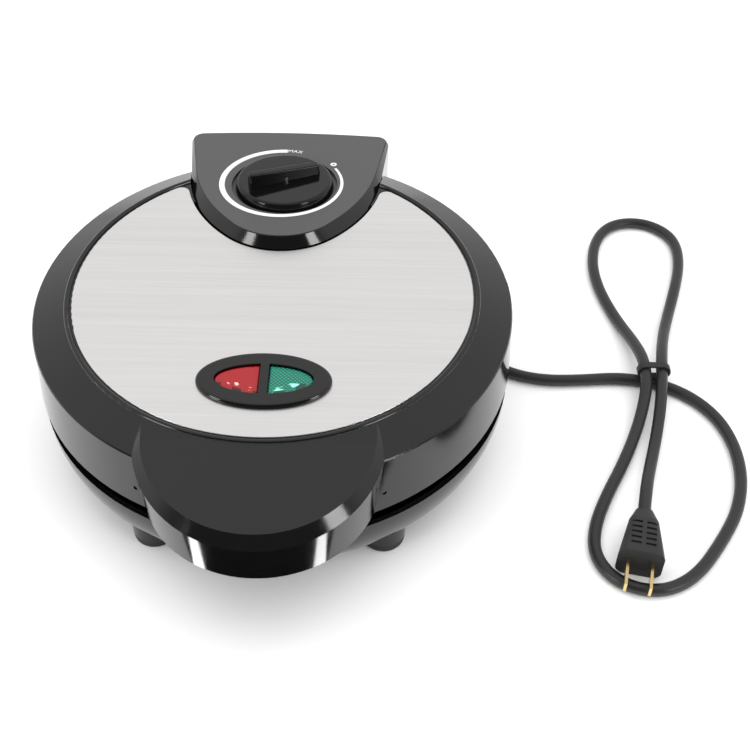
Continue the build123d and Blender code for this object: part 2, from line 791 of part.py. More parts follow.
def grill_plate(frame, gap_at, drilled):
    """A cast round plate, built up from its cooking face, with small drilled places."""
    start, stop = element_ends(gap_at)
    with BuildPart() as plate:
        with BuildSketch(frame):
            Circle(plate_radius)
        extrude(amount=plate_web)
        with BuildSketch(frame.offset(plate_web)):
            Circle(reflector_radius + plate_back_margin)
        extrude(amount=plate_thickness - plate_web)
        face_edge = plate.edges().filter_by(GeomType.CIRCLE)
        fillet(face_edge.sort_by(Axis(frame.origin, frame.z_dir))[0], edge_round)
        with BuildSketch(frame):
            with GridLocations(waffle_pitch, 0, waffle_lines, 1):
                Rectangle(waffle_groove, 2 * plate_radius)
            with GridLocations(0, waffle_pitch, 1, waffle_lines):
                Rectangle(2 * plate_radius, waffle_groove)
            Circle(waffle_radius, mode=Mode.INTERSECT)
        extrude(amount=waffle_depth, mode=Mode.SUBTRACT)
        with BuildSketch(frame):
            Circle(drip_ring_radius)
            Circle(drip_ring_radius - waffle_groove, mode=Mode.SUBTRACT)
        extrude(amount=waffle_depth, mode=Mode.SUBTRACT)
        with BuildSketch(element_profile(frame, start - channel_overrun)):
            with Locations((element_ring_radius, (element_floor + plate_thickness + 1) / 2)):
                Rectangle(2 * (element_tube_radius + tube_clearance), plate_thickness + 1 - element_floor)
        revolve(
            axis=Axis(frame.origin, frame.z_dir),
            revolution_arc=stop - start + 2 * channel_overrun, mode=Mode.SUBTRACT,
        )
        with BuildSketch(frame.offset(plate_thickness - screw_bite - screw_end_gap)):
            with Locations(*ring_of(post_angles, post_ring_radius)):
                Circle(screw_radius + running_clearance)
            with Locations(*drilled):
                Circle(small_screw_radius + running_clearance)
        extrude(amount=plate_thickness, mode=Mode.SUBTRACT)
    return plate.part


def heating_element(frame, gap_at):
    """A sealed tube bent to an open ring, with both ends turned up square.

    It is joined about the origin and then put in its frame, because the joins
    of a torus and balls of the same size are only sound on round numbers.
    """
    start, stop = element_ends(gap_at)
    ends = ring_of((start, stop), element_ring_radius)
    with BuildPart() as tube:
        with BuildSketch(element_profile(Plane.XY, start)):
            with Locations((element_ring_radius, element_rise)):
                Circle(element_tube_radius)
        revolve(axis=Axis.Z, revolution_arc=stop - start)
        with Locations(*[(x, y, element_rise) for x, y in ends]):
            Sphere(element_tube_radius)
        with BuildSketch(Plane.XY.offset(element_rise)):
            with Locations(*ends):
                Circle(element_tube_radius)
        extrude(amount=element_leg_top - element_rise)
    with BuildPart(frame) as element:
        add(tube.part)
    return element.part


def terminal_tabs(frame, gap_at):
    """Two flat blades welded on the element's ends, for push-on connectors."""
    with BuildPart() as tabs:
        with BuildSketch(frame.offset(element_leg_top)):
            with Locations(*ring_of(element_ends(gap_at), element_ring_radius)):
                Rectangle(tab_width, tab_thickness)
        extrude(amount=tab_length)
    return tabs.part


def insulators(frame, gap_at):
    """Ceramic sleeves on the element's ends, flanged under the reflector."""
    places = ring_of(element_ends(gap_at), element_ring_radius)
    flange_foot = reflector_rise - reflector_thickness - insulator_flange_height
    with BuildPart() as sleeves:
        with BuildSketch(frame.offset(flange_foot)):
            with Locations(*places):
                Circle(insulator_flange)
        extrude(amount=insulator_flange_height)
        with BuildSketch(frame.offset(flange_foot)):
            with Locations(*places):
                Circle(insulator_radius)
        extrude(amount=insulator_length)
        with BuildSketch(frame.offset(flange_foot)):
            with Locations(*places):
                Circle(element_tube_radius + tube_clearance)
        extrude(amount=insulator_length, mode=Mode.SUBTRACT)
    return sleeves.part


def reflector(frame, gap_at, probe_hole):
    """A bright pan behind the element that rests on the shoulders of the posts."""
    pan_foot = reflector_rise - reflector_thickness
    with BuildPart() as pan:
        with BuildSketch(frame.offset(reflector_wall_foot)):
            Circle(reflector_radius)
        extrude(amount=reflector_rise - reflector_wall_foot)
        fillet(pan.edges().sort_by(Axis(frame.origin, frame.z_dir))[-1], 2 * reflector_thickness)
        with BuildSketch(frame.offset(reflector_wall_foot)):
            Circle(reflector_radius - reflector_thickness)
        extrude(amount=pan_foot - reflector_wall_foot, mode=Mode.SUBTRACT)
        with BuildSketch(frame.offset(pan_foot)):
            with Locations(*ring_of(post_angles, post_ring_radius)):
                Circle(post_neck_radius + seat_clearance)
            with Locations(*ring_of(element_ends(gap_at), element_ring_radius)):
                Circle(insulator_radius + insulator_clearance)
            if probe_hole:
                with Locations((0, dial_out)):
                    Circle(probe_radius + probe_hole_margin)
        extrude(amount=reflector_thickness, mode=Mode.SUBTRACT)
    return pan.part


def post_washers(frame):
    """Push-on washers that hold the reflector against the posts' shoulders."""
    with BuildPart() as washers:
        with BuildSketch(frame.offset(reflector_rise - reflector_thickness - washer_thickness)):
            with Locations(*ring_of(post_angles, post_ring_radius)):
                Circle(washer_radius)
                Circle(post_neck_radius + running_clearance, mode=Mode.SUBTRACT)
        extrude(amount=washer_thickness)
    return washers.part


def plate_screws(frame, seat):
    """Long screws down the posts into the plate's back, heads at the seat."""
    places = ring_of(post_angles, post_ring_radius)
    with BuildPart() as screws:
        with BuildSketch(frame.offset(plate_thickness - screw_bite)):
            with Locations(*places):
                Circle(screw_radius)
        extrude(amount=seat - plate_thickness + screw_bite)
        with BuildSketch(frame.offset(seat)):
            with Locations(*places):
                Circle(screw_head_radius)
        extrude(amount=screw_head_height)
        with BuildSketch(frame.offset(seat + screw_head_height / 2)):
            with Locations(*places):
                Rectangle(screw_head_radius, slot_width)
                Rectangle(slot_width, screw_head_radius)
        extrude(amount=screw_head_height, mode=Mode.SUBTRACT)
    return screws.part


upper_seat = upper_screw_seat_z - upper_face_z
lower_seat = lower_face_z - lower_screw_seat_z
halves = (
    ("upper", upper_frame, upper_gap_at, upper_seat),
    ("lower", lower_frame, lower_gap_at, lower_seat),
)
for half, frame, gap_at, seat in halves:
    pieces = {
        f"{half}_grill_plate": grill_plate(frame, gap_at, [(0, fuse_y - clip_screw_out)]),
        f"{half}_heating_element": heating_element(frame, gap_at),
        f"{half}_terminal_tabs": terminal_tabs(frame, gap_at),
        f"{half}_insulators": insulators(frame, gap_at),
        f"{half}_reflector": reflector(frame, gap_at, half == "upper"),
        f"{half}_post_washers": post_washers(frame),
        f"{half}_plate_screws": plate_screws(frame, seat),
    }
    for name, piece in pieces.items():
        piece.label = name
        export_step(piece, f"parts/{name}.step")

# Thermostat. Its body hangs under the pod's dial well, with a threaded bush and
# a nut above, and a probe column that stands on the upper plate's back.
body_top = -dial_well_depth - wall
body_foot = body_top - thermostat_height
with BuildPart() as thermostat:
    with BuildSketch(dial.offset(body_foot)):
        Rectangle(thermostat_length, thermostat_width)
    extrude(amount=thermostat_height)
    fillet(thermostat.edges().filter_by(Axis(dial.origin, dial.z_dir)), edge_round)
    with BuildSketch(dial.offset(body_top)):
        Circle(bush_radius)
    extrude(amount=-body_top - bush_drop)
    with BuildSketch(dial.offset(-shaft_drop - seat_clearance)):
        Circle(shaft_radius + running_clearance)
    extrude(amount=shaft_drop, mode=Mode.SUBTRACT)
thermostat.part.label = "thermostat"
export_step(thermostat.part, "parts/thermostat.step")

with BuildPart() as thermostat_nut:
    with BuildSketch(dial.offset(-dial_well_depth)):
        RegularPolygon(nut_radius, 6)
        Circle(bush_radius + running_clearance, mode=Mode.SUBTRACT)
    extrude(amount=nut_thickness)
thermostat_nut.part.label = "thermostat_nut"
export_step(thermostat_nut.part, "parts/thermostat_nut.step")

with BuildPart() as thermostat_probe:
    with BuildSketch(upper_frame.offset(plate_thickness)):
        with Locations((0, dial_out)):
            Circle(probe_foot_radius)
    extrude(amount=probe_foot_height)
    with BuildSketch(upper_frame.offset(plate_thickness)):
        with Locations((0, dial_out)):
            Circle(probe_radius)
    extrude(amount=pod_top_z - upper_face_z)
    split(bisect_by=dial.offset(body_foot), keep=Keep.BOTTOM)
thermostat_probe.part.label = "thermostat_probe"
export_step(thermostat_probe.part, "parts/thermostat_probe.step")

# A one-shot thermal fuse lies on the upper plate's back under a clip.
fuse_z = upper_face_z + plate_thickness + fuse_radius
with BuildPart() as thermal_fuse:
    with BuildSketch(Plane(origin=(-fuse_length / 2, grill_y + fuse_y, fuse_z), z_dir=(1, 0, 0))):
        Circle(fuse_radius)
    extrude(amount=fuse_length)
thermal_fuse.part.label = "thermal_fuse"
export_step(thermal_fuse.part, "parts/thermal_fuse.step")

clip_foot_z = upper_face_z + plate_thickness
with BuildPart() as fuse_clip:
    with BuildSketch(Plane(origin=(0, grill_y + fuse_y, clip_foot_z), x_dir=(0, 1, 0), z_dir=(1, 0, 0))):
        with Locations((0, fuse_radius + clip_thickness / 2)):
            Rectangle(2 * fuse_radius + 2 * clip_thickness, 2 * fuse_radius + clip_thickness)
        with Locations((-clip_tab_length / 2, clip_thickness / 2)):
            Rectangle(clip_tab_length, clip_thickness)
        with Locations((0, fuse_radius)):
            Circle(fuse_radius + running_clearance, mode=Mode.SUBTRACT)
        with Locations((0, fuse_radius / 2)):
            Rectangle(2 * fuse_radius, fuse_radius, mode=Mode.SUBTRACT)
    extrude(amount=clip_width / 2, both=True)
    with BuildSketch(table.offset(clip_foot_z)):
        with Locations((0, fuse_y - clip_screw_out)):
            Circle(small_screw_radius + running_clearance)
    extrude(amount=2, mode=Mode.SUBTRACT)
fuse_clip.part.label = "fuse_clip"
export_step(fuse_clip.part, "parts/fuse_clip.step")
fuse_screw = small_screws(
    [(0, fuse_y - clip_screw_out)], clip_foot_z + clip_thickness, fuse_screw_length, False,
)
fuse_screw.label = "fuse_screw"
export_step(fuse_screw, "parts/fuse_screw.step")


# Dial. A glossy knob on the thermostat's shaft, hollow below. Its grip is a bar
# across the disc that falls to the end that points.
grip_rise = (grip_high_end + grip_low_end) / 2
grip_fall = degrees(atan2(grip_high_end - grip_low_end, 2 * grip_half_length))
grip_across = dial.rotated((0, 0, grip_turn))
grip_top = Plane(
    origin=grip_across.from_local_coords((0, 0, knob_disc_height + grip_rise)),
    x_dir=grip_across.x_dir, z_dir=grip_across.z_dir,
).rotated((0, grip_fall, 0))
with BuildPart() as grip_form:
    with BuildSketch(grip_across.offset(knob_disc_height - grip_sink)):
        RectangleRounded(2 * grip_half_length, grip_width, grip_corner)
    extrude(amount=grip_sink + grip_high_end + 1, taper=grip_taper)
    split(bisect_by=grip_top, keep=Keep.BOTTOM)
    fillet(grip_form.faces().sort_by(Axis(dial.origin, grip_top.z_dir))[-1].edges(), grip_round)

with BuildPart() as dial_knob:
    with BuildSketch(dial.offset(-knob_skirt_drop)):
        Circle(knob_skirt_radius)
    with BuildSketch(dial.offset(knob_disc_height)):
        Circle(knob_disc_radius)
    loft()
    fillet(dial_knob.faces().sort_by(Axis(dial.origin, dial.z_dir))[-1].edges(), knob_round)
    add(grip_form.part)
    with BuildSketch(dial.offset(-knob_skirt_drop)):
        Circle(knob_disc_radius - knob_wall)
        Circle(knob_boss_radius, mode=Mode.SUBTRACT)
    extrude(amount=knob_skirt_drop + knob_disc_height - knob_wall, mode=Mode.SUBTRACT)
    with BuildSketch(dial.offset(-knob_skirt_drop)):
        Circle(knob_boss_radius)
    extrude(amount=knob_skirt_drop + seat_clearance, mode=Mode.SUBTRACT)
    with BuildSketch(dial.offset(-knob_skirt_drop)):
        Circle(shaft_radius + running_clearance)
    extrude(amount=knob_skirt_drop + shaft_grip + seat_clearance, mode=Mode.SUBTRACT)
dial_knob.part.label = "dial_knob"
export_step(dial_knob.part, "parts/dial_knob.step")

with BuildPart() as thermostat_shaft:
    with BuildSketch(dial.offset(-shaft_drop)):
        Circle(shaft_radius)
    extrude(amount=shaft_drop + shaft_grip)
thermostat_shaft.part.label = "thermostat_shaft"
export_step(thermostat_shaft.part, "parts/thermostat_shaft.step")


# Base housing. One deep moulding holds the bowl, the lower handle, two hinge
# ears, the posts for the lower plate and the bosses for the feet and the cord.
def bowl_outline(inset, top):
    """Half section of the bowl's form, set in by inset, with its flat top at a height."""
    with BuildSketch() as outline:
        with BuildLine():
            turn = TangentArc(
                (bowl_floor_radius, foot_height), (bowl_turn_radius, bowl_turn_z),
                tangent=(1, 0), mode=Mode.PRIVATE,
            )
            flank = TangentArc(
                turn @ 1, (rim_radius, rim_z - rim_band), tangent=turn % 1, mode=Mode.PRIVATE,
            )
            turn_end, flank_end = [
                c @ 1 + Vector(-(c % 1).Y, (c % 1).X) * inset for c in (turn, flank)
            ]
            floor_line = Line((0, foot_height + inset), (bowl_floor_radius, foot_height + inset))
            low = TangentArc(floor_line @ 1, turn_end, tangent=(1, 0))
            TangentArc(low @ 1, flank_end, tangent=low % 1)
            Polyline(flank_end, (flank_end.X, top), (0, top), (0, foot_height + inset))
        make_face()
    return outline.sketch


def lower_handle(inset):
    """The lower handle's form, an oval lip over a hull that fades into the bowl."""
    lip = Plane(origin=(0, grill_y - handle_out, base_handle_top_z - inset))
    hull_foot = Plane(origin=(0, grill_y - handle_out, base_handle_foot_z + inset))
    with BuildPart() as form:
        with BuildSketch(lip.offset(-base_handle_band)):
            Ellipse(base_handle_width / 2 - inset, base_handle_reach - inset)
        extrude(amount=base_handle_band)
        with BuildSketch(hull_foot):
            Ellipse(base_handle_foot_width / 2 - inset, base_handle_foot_reach - inset)
        with BuildSketch(lip.offset(-base_handle_band)):
            Ellipse(base_handle_width / 2 - inset, base_handle_reach - inset)
        loft()
        fillet(form.faces().sort_by(Axis.Z)[-1].edges(), edge_round)
    return form.part


# The lower handle is hollow, but the bowl's wall is kept above its mouth.
with BuildPart() as lower_handle_hollow:
    add(lower_handle(wall))
    with BuildSketch(table.offset(apron_foot_z)):
        Circle(rim_radius)
    extrude(amount=base_handle_top_z - apron_foot_z, mode=Mode.SUBTRACT)

foot_places = [(x, y) for x in (-foot_x, foot_x) for y in (-foot_y, foot_y)]
post_places = ring_of(post_angles, post_ring_radius)
cover_screw_places = ring_of(cover_screw_angles, cover_screw_ring)
clamp_places = [(cord_exit_x + sign * clamp_spread, clamp_out) for sign in (-1, 1)]
clamp_z = cord_exit_z + cord_radius + seat_clearance
with BuildPart() as base_housing:
    with BuildSketch(section):
        add(bowl_outline(0, rim_z))
    revolve(axis=spin)
    add(lower_handle(0))
    with BuildSketch(table.offset(foot_seat_z)):
        with Locations(*foot_places):
            Circle(foot_boss_radius)
    extrude(amount=foot_boss_top_z - foot_seat_z)
    for sign in (-1, 1):
        with BuildSketch(side.offset(sign * (ear_inner + ear_width / 2))):
            with BuildLine():
                Polyline(
                    (hinge_out - ear_root_in, hinge_z - ear_root_low),
                    (hinge_out - ear_root_in, hinge_z - ear_root_high),
                    (hinge_out - arm_root, hinge_z + arm_root), (hinge_out + arm_root, hinge_z - arm_root),
                    close=True,
                )
            make_face()
            with Locations((hinge_out, hinge_z)):
                Circle(knuckle_radius)
        extrude(amount=ear_width / 2, both=True)
        with BuildSketch(side.offset(sign * (ear_inner + ear_width / 2))):
            with Locations((hinge_out, hinge_z)):
                Circle(pin_radius)
        extrude(amount=ear_width / 2, both=True, mode=Mode.SUBTRACT)
    add(lower_handle_hollow.part, mode=Mode.SUBTRACT)
    with BuildSketch(section):
        add(bowl_outline(wall, skirt_z))
    revolve(axis=spin, mode=Mode.SUBTRACT)
    # Posts for the lower plate rise from the floor, bored for its screws.
    with BuildSketch(table.offset(bowl_floor_z)):
        with Locations(*post_places):
            Circle(post_radius)
    extrude(amount=lower_face_z - reflector_rise - bowl_floor_z)
    with BuildSketch(table.offset(lower_face_z - reflector_rise)):
        with Locations(*post_places):
            Circle(post_neck_radius)
    extrude(amount=reflector_rise - plate_thickness)
    with BuildSketch(table.offset(foot_height)):
        with Locations(*post_places):
            Circle(screw_head_radius + seat_clearance)
    extrude(amount=lower_screw_seat_z - foot_height, mode=Mode.SUBTRACT)
    with BuildSketch(table.offset(foot_height)):
        with Locations(*post_places):
            Circle(screw_radius + running_clearance)
    extrude(amount=lower_face_z - foot_height, mode=Mode.SUBTRACT)
    # Each foot's stud goes up into a boss.
    with BuildSketch(table.offset(foot_height)):
        with Locations(*foot_places):
            Circle(post_radius)
    extrude(amount=stud_boss_top_z - foot_height)
    with BuildSketch(table.offset(foot_seat_z)):
        with Locations(*foot_places):
            Circle(stud_radius + running_clearance)
    extrude(amount=stud_length + seat_clearance, mode=Mode.SUBTRACT)
    # The cord leaves through a flat-faced boss, past two posts for its clamp.
    with BuildSketch(exit_face.offset(-cord_boss_length)):
        Circle(cord_boss_radius)
    extrude(amount=cord_boss_length)
    with BuildSketch(exit_face.offset(-cord_boss_length)):
        Circle(relief_neck_radius + running_clearance)
    extrude(amount=cord_boss_length, mode=Mode.SUBTRACT)
    with BuildSketch(table.offset(bowl_floor_z)):
        with Locations(*clamp_places):
            Circle(boss_radius)
            Circle(small_screw_radius + running_clearance, mode=Mode.SUBTRACT)
    extrude(amount=clamp_z - bowl_floor_z)
    # A round opening in the floor, with a recess for its cover.
    with BuildSketch(table.offset(foot_height)):
        Circle(opening_radius)
    extrude(amount=wall, mode=Mode.SUBTRACT)
    with BuildSketch(table.offset(foot_height)):
        Circle(cover_radius)
    extrude(amount=cover_recess, mode=Mode.SUBTRACT)
    with BuildSketch(table.offset(foot_height + cover_recess)):
        with Locations(*cover_screw_places):
            Circle(cover_screw_boss)
    extrude(amount=cover_screw_boss_height)
    with BuildSketch(table.offset(foot_height)):
        with Locations(*cover_screw_places):
            Circle(small_screw_radius + running_clearance)
    extrude(amount=cover_screw_boss_height, mode=Mode.SUBTRACT)
base_housing.part.label = "base_housing"
export_step(base_housing.part, "parts/base_housing.step")

# Underside: a vented cover, its screws and four rubber feet with studs.
with BuildPart() as bottom_cover:
    with BuildSketch(table.offset(foot_height)):
        Circle(cover_radius - seat_clearance)
        with Locations(*cover_screw_places):
            Circle(small_screw_radius + running_clearance, mode=Mode.SUBTRACT)
        with PolarLocations(vent_ring, vent_count):
            SlotOverall(vent_length, vent_width, mode=Mode.SUBTRACT)
    extrude(amount=cover_recess)
bottom_cover.part.label = "bottom_cover"
export_step(bottom_cover.part, "parts/bottom_cover.step")
cover_screws = small_screws(cover_screw_places, foot_height, cover_screw_length, True)
cover_screws.label = "cover_screws"
export_step(cover_screws, "parts/cover_screws.step")

foot_names = ("foot_front_left", "foot_rear_left", "foot_front_right", "foot_rear_right")
for name, (x, y) in zip(foot_names, foot_places):
    with BuildPart() as foot:
        with BuildSketch(Plane(origin=(x, grill_y + y, 0))):
            Circle(foot_radius)
        extrude(amount=foot_seat_z)
        fillet(foot.edges().sort_by(Axis.Z)[0], foot_round)
        with BuildSketch(Plane(origin=(x, grill_y + y, foot_seat_z))):
            Circle(stud_radius)
        extrude(amount=stud_length)
    foot.part.label = name
    export_step(foot.part, f"parts/{name}.step")

# Hinge pins, driven through the ears from outside into the lid's lugs.
for name, sign in (("hinge_pin_left", -1), ("hinge_pin_right", 1)):
    with BuildPart() as pin:
        with BuildSketch(side.offset(sign * (lug_inner - 1))):
            with Locations((hinge_out, hinge_z)):
                Circle(pin_radius)
        extrude(amount=sign * (ear_inner + ear_width - lug_inner + 1))
        with BuildSketch(side.offset(sign * (ear_inner + ear_width))):
            with Locations((hinge_out, hinge_z)):
                Circle(pin_head_radius)
        extrude(amount=sign * pin_head_height)
        fillet(pin.edges().filter_by(GeomType.CIRCLE).sort_by(Axis.X)[-1 if sign > 0 else 0], edge_round)
    pin.part.label = name
    export_step(pin.part, f"parts/{name}.step")

# Cord entry inside the base: the cord's inner end, its clamp and a terminal block.
with BuildPart() as terminal_block:
    with BuildSketch(table.offset(bowl_floor_z)):
        with Locations((cord_exit_x, inner_cord_end - block_width / 2)):
            RectangleRounded(block_length, block_width, 2)
    extrude(amount=block_height)
    with BuildSketch(table.offset(bowl_floor_z + block_height)):
        with Locations((cord_exit_x, inner_cord_end - block_width / 2)):
            with GridLocations(block_length / 2, block_width / 2, 2, 2):
                Circle(small_screw_radius)
    extrude(amount=-block_height / 3, mode=Mode.SUBTRACT)
terminal_block.part.label = "terminal_block"
export_step(terminal_block.part, "parts/terminal_block.step")

with BuildPart() as inner_cord:
    with BuildSketch(exit_face.offset(inner_cord_end - cord_boss_face)):
        Circle(cord_radius)
    extrude(amount=inner_cord_run - relief_collar)
inner_cord.part.label = "inner_cord"
export_step(inner_cord.part, "parts/inner_cord.step")

with BuildPart() as cord_clamp:
    with BuildSketch(table.offset(clamp_z)):
        with Locations((cord_exit_x, clamp_out)):
            SlotCenterToCenter(2 * clamp_spread, 2 * boss_radius)
        with Locations(*clamp_places):
            Circle(small_screw_radius + running_clearance, mode=Mode.SUBTRACT)
    extrude(amount=clamp_thickness)
cord_clamp.part.label = "cord_clamp"
export_step(cord_clamp.part, "parts/cord_clamp.step")
clamp_screws = small_screws(clamp_places, clamp_z + clamp_thickness, small_screw_length, False)
clamp_screws.label = "clamp_screws"
export_step(clamp_screws, "parts/clamp_screws.step")


def leads(routes, name):
    """Round insulated wires along short routes of straight runs and arcs."""
    with BuildPart() as wires:
        for route in routes:
            places = [(x, grill_y + y, z) for x, y, z in route]
            with BuildLine():
                path = FilletPolyline(*places, radius=lead_bend)
            with BuildSketch(Plane(origin=path @ 0, z_dir=path % 0)):
                Circle(lead_radius)
            sweep()
    wires.part.label = name
    export_step(wires.part, f"parts/{name}.step")


tab_x = element_ring_radius * sin(radians(element_gap_angle / 2))
tab_y = element_ring_radius * cos(radians(element_gap_angle / 2))
tab_edge = tab_width / 2
block_left = cord_exit_x - block_length / 2
lead_z = bowl_floor_z + lead_rise
tab_z = lower_face_z - element_leg_top - tab_length / 2
leads([
    [(block_left, inner_cord_end - 4, lead_z), (-38, 78, lead_z), (-62, 58, lead_z),
     (-tab_y + tab_edge, tab_x, tab_z)],
    [(block_left, inner_cord_end - 14, lead_z), (-30, 66, lead_z), (-54, 38, lead_z),
     (-60, -10, lead_z), (-tab_y + tab_edge, -tab_x, tab_z)],
], "lower_leads")
upper_tab_z = upper_face_z + element_leg_top + tab_length / 2
leads([
    [(sign * thermostat_length / 2, dial_out - 2, upper_tab_z + 7),
     (sign * 20, dial_out - 2, upper_tab_z + 5),
     (sign * 26, tab_y, upper_tab_z + 1), (sign * (tab_x - tab_edge), tab_y, upper_tab_z)]
    for sign in (-1, 1)
], "upper_leads")

# Strain relief, moulded on the cord: collar, neck through the boss, flange and
# a tapered tail with grooves that let it bend.
with BuildPart() as strain_relief:
    with BuildSketch(exit_face.offset(-cord_boss_length - relief_collar)):
        Circle(relief_collar_radius)
    extrude(amount=relief_collar)
    with BuildSketch(exit_face.offset(-cord_boss_length)):
        Circle(relief_neck_radius)
    extrude(amount=cord_boss_length)
    with BuildSketch(exit_face):
        Circle(relief_flange_radius)
    extrude(amount=relief_flange)
    with BuildSketch(exit_face.offset(relief_flange)):
        Circle(relief_root_radius)
    with BuildSketch(exit_face.offset(relief_length)):
        Circle(relief_tip_radius)
    loft()
    for i in range(relief_ribs):
        with BuildSketch(exit_face.offset(2 * relief_flange + i * relief_rib_pitch)):
            Circle(relief_root_radius)
            Circle(relief_core_radius, mode=Mode.SUBTRACT)
        extrude(amount=relief_rib_gap, mode=Mode.SUBTRACT)
strain_relief.part.label = "strain_relief"
export_step(strain_relief.part, "parts/strain_relief.step")

# Power cord. Straight runs joined by arcs as large as the runs allow.
exit_out = cord_boss_face + relief_length
cord_route = [
    (cord_exit_x, exit_out, cord_exit_z), (cord_exit_x, exit_out + 20, cord_exit_z),
    (38.6, 193.9, 16.5), (56.9, 204.5, 9),
    (78.1, 204.5, 4.4), (96.4, 193.9, 3.6), (107, 175.6, 3.6), (108.2, 152, 3.6),
    (108.6, 127, 3.6), (106.6, 103, 3.6), (107.6, 80.5, 3.6), (110.6, 60.4, 3.6),
    (121.2, 43, 3.6), (137.8, 31.2, 3.6), (157.6, 26.3, 3.6), (180, 27.3, 3.6),
    (203, 30, 3.6), (224, 26.5, 3.6), (243, 16.5, 3.6), (257, -1, 3.6),
    (263, -23, 3.6), (262.5, -47, 3.6), (255.5, -71, 3.6), (242, -93, 3.6),
    (226.5, -113.5, 3.6), (210.2, -123.9, 3.6), (193.6, -124.3, 3.6), (179.6, -116.1, 3.6),
    (172.8, -101.3, 3.6), (175.4, -83.3, 3.6), (184, -62.8, 3.6), (195.5, -41, 3.6),
    (205.5, -19, 3.8), (212.6, 0, 8.2), (217, 18, 12.5), (217.6, 38, 12.5),
    (214.3, 58, 8.6), (209, 79, 3.8), (202.5, 101, 3.6), (199, 122, 3.6),
    (199.5, 142, 3.6), (203.8, 160, 3.6), (212.4, 174.8, 3.6), (225.8, 181.9, 3.6),
    (240.9, 180.8, 3.6), (253.2, 171.9, 3.6), (258.8, 157.9, 3.6), (257, 136, 3.6),
    (249.5, 110, 3.6), (240, 82, 3.8), (233.3, 60, 8.2), (228.6, 38, 12.5),
    (225.8, 18, 12.5), (222.3, -2, 9), (217, -23, 5), (210.5, -44, 6.5),
    (205, -62.5, 11), (201.4, -79.5, 11),
]
cord_points = [Vector(x, grill_y + y, z) for x, y, z in cord_route]
cord_runs = [b - a for a, b in zip(cord_points, cord_points[1:])]
cord_bends = []
for before, after in zip(cord_runs, cord_runs[1:]):
    half_turn = radians(before.get_angle(after)) / 2
    cord_bends.append(0.45 * min(before.length, after.length) / tan(half_turn))
print("cord radii", " ".join(f"{bend:.0f}" for bend in cord_bends), "smallest", round(min(cord_bends), 1))
with BuildPart() as power_cord:
    with BuildLine() as cord_path:
        FilletPolyline(*cord_points, radius=cord_bends)
    with BuildSketch(Plane(origin=cord_points[0], z_dir=cord_runs[0])):
        Circle(cord_radius)
    sweep()
cord_length = cord_path.wires()[0].length
cord_section = pi * cord_radius**2
print("cord length", round(cord_length, 1), "volume over section times length",
      round(power_cord.part.volume / (cord_section * cord_length), 4))
power_cord.part.label = "power_cord"
export_step(power_cord.part, "parts/power_cord.step")

# Cord tie. A flat band round both strands, where they lie side by side.
tie_place = Vector(222.3, grill_y + 28, 12.5)
tie_plane = Plane(origin=tie_place, x_dir=(1, 0, 0), z_dir=(0, -1, 0))
with BuildPart() as cord_tie:
    with BuildSketch(tie_plane.offset(-tie_width / 2)):
        SlotCenterToCenter(tie_strand_pitch, 2 * (cord_radius + seat_clearance + tie_thickness))
        SlotCenterToCenter(tie_strand_pitch, 2 * (cord_radius + seat_clearance), mode=Mode.SUBTRACT)
    extrude(amount=tie_width)
cord_tie.part.label = "cord_tie"
export_step(cord_tie.part, "parts/cord_tie.step")

# Mains plug, moulded on the cord's far end, with finger grips and two blades.
plug = Plane(origin=cord_points[-1], x_dir=(17, -3.6, 0), z_dir=cord_runs[-1])
grip_rows = [(x, plug_root_height / 2 + 0.11 * i * plug_grip_pitch, plug_neck + (i + 1) * plug_grip_pitch)
             for x in (-plug_grip_spread, plug_grip_spread) for i in range(plug_grip_rows)]
with BuildPart(plug) as mains_plug:
    with BuildSketch(plug):
        Circle(plug_neck_radius)
    with BuildSketch(plug.offset(plug_neck)):
        RectangleRounded(plug_root_width, plug_root_height, plug_corner)
    loft()
    with BuildSketch(plug.offset(plug_neck)):
        RectangleRounded(plug_root_width, plug_root_height, plug_corner)
    with BuildSketch(plug.offset(plug_length)):
        RectangleRounded(plug_width, plug_height, plug_corner)
    loft()
    with Locations(*grip_rows):
        Box(plug_root_width / 3, plug_grip_depth, plug_grip_pitch / 2.4, mode=Mode.SUBTRACT)
mains_plug.part.label = "mains_plug"
export_step(mains_plug.part, "parts/mains_plug.step")

with BuildPart() as plug_blades:
    with BuildSketch(plug.offset(plug_length)):
        with Locations((-blade_pitch / 2, 0), (blade_pitch / 2, 0)):
            Rectangle(blade_thickness, blade_height)
    extrude(amount=blade_length)
plug_blades.part.label = "plug_blades"
export_step(plug_blades.part, "parts/plug_blades.step")
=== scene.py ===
import bpy
import numpy as np
from mathutils import Matrix, Vector


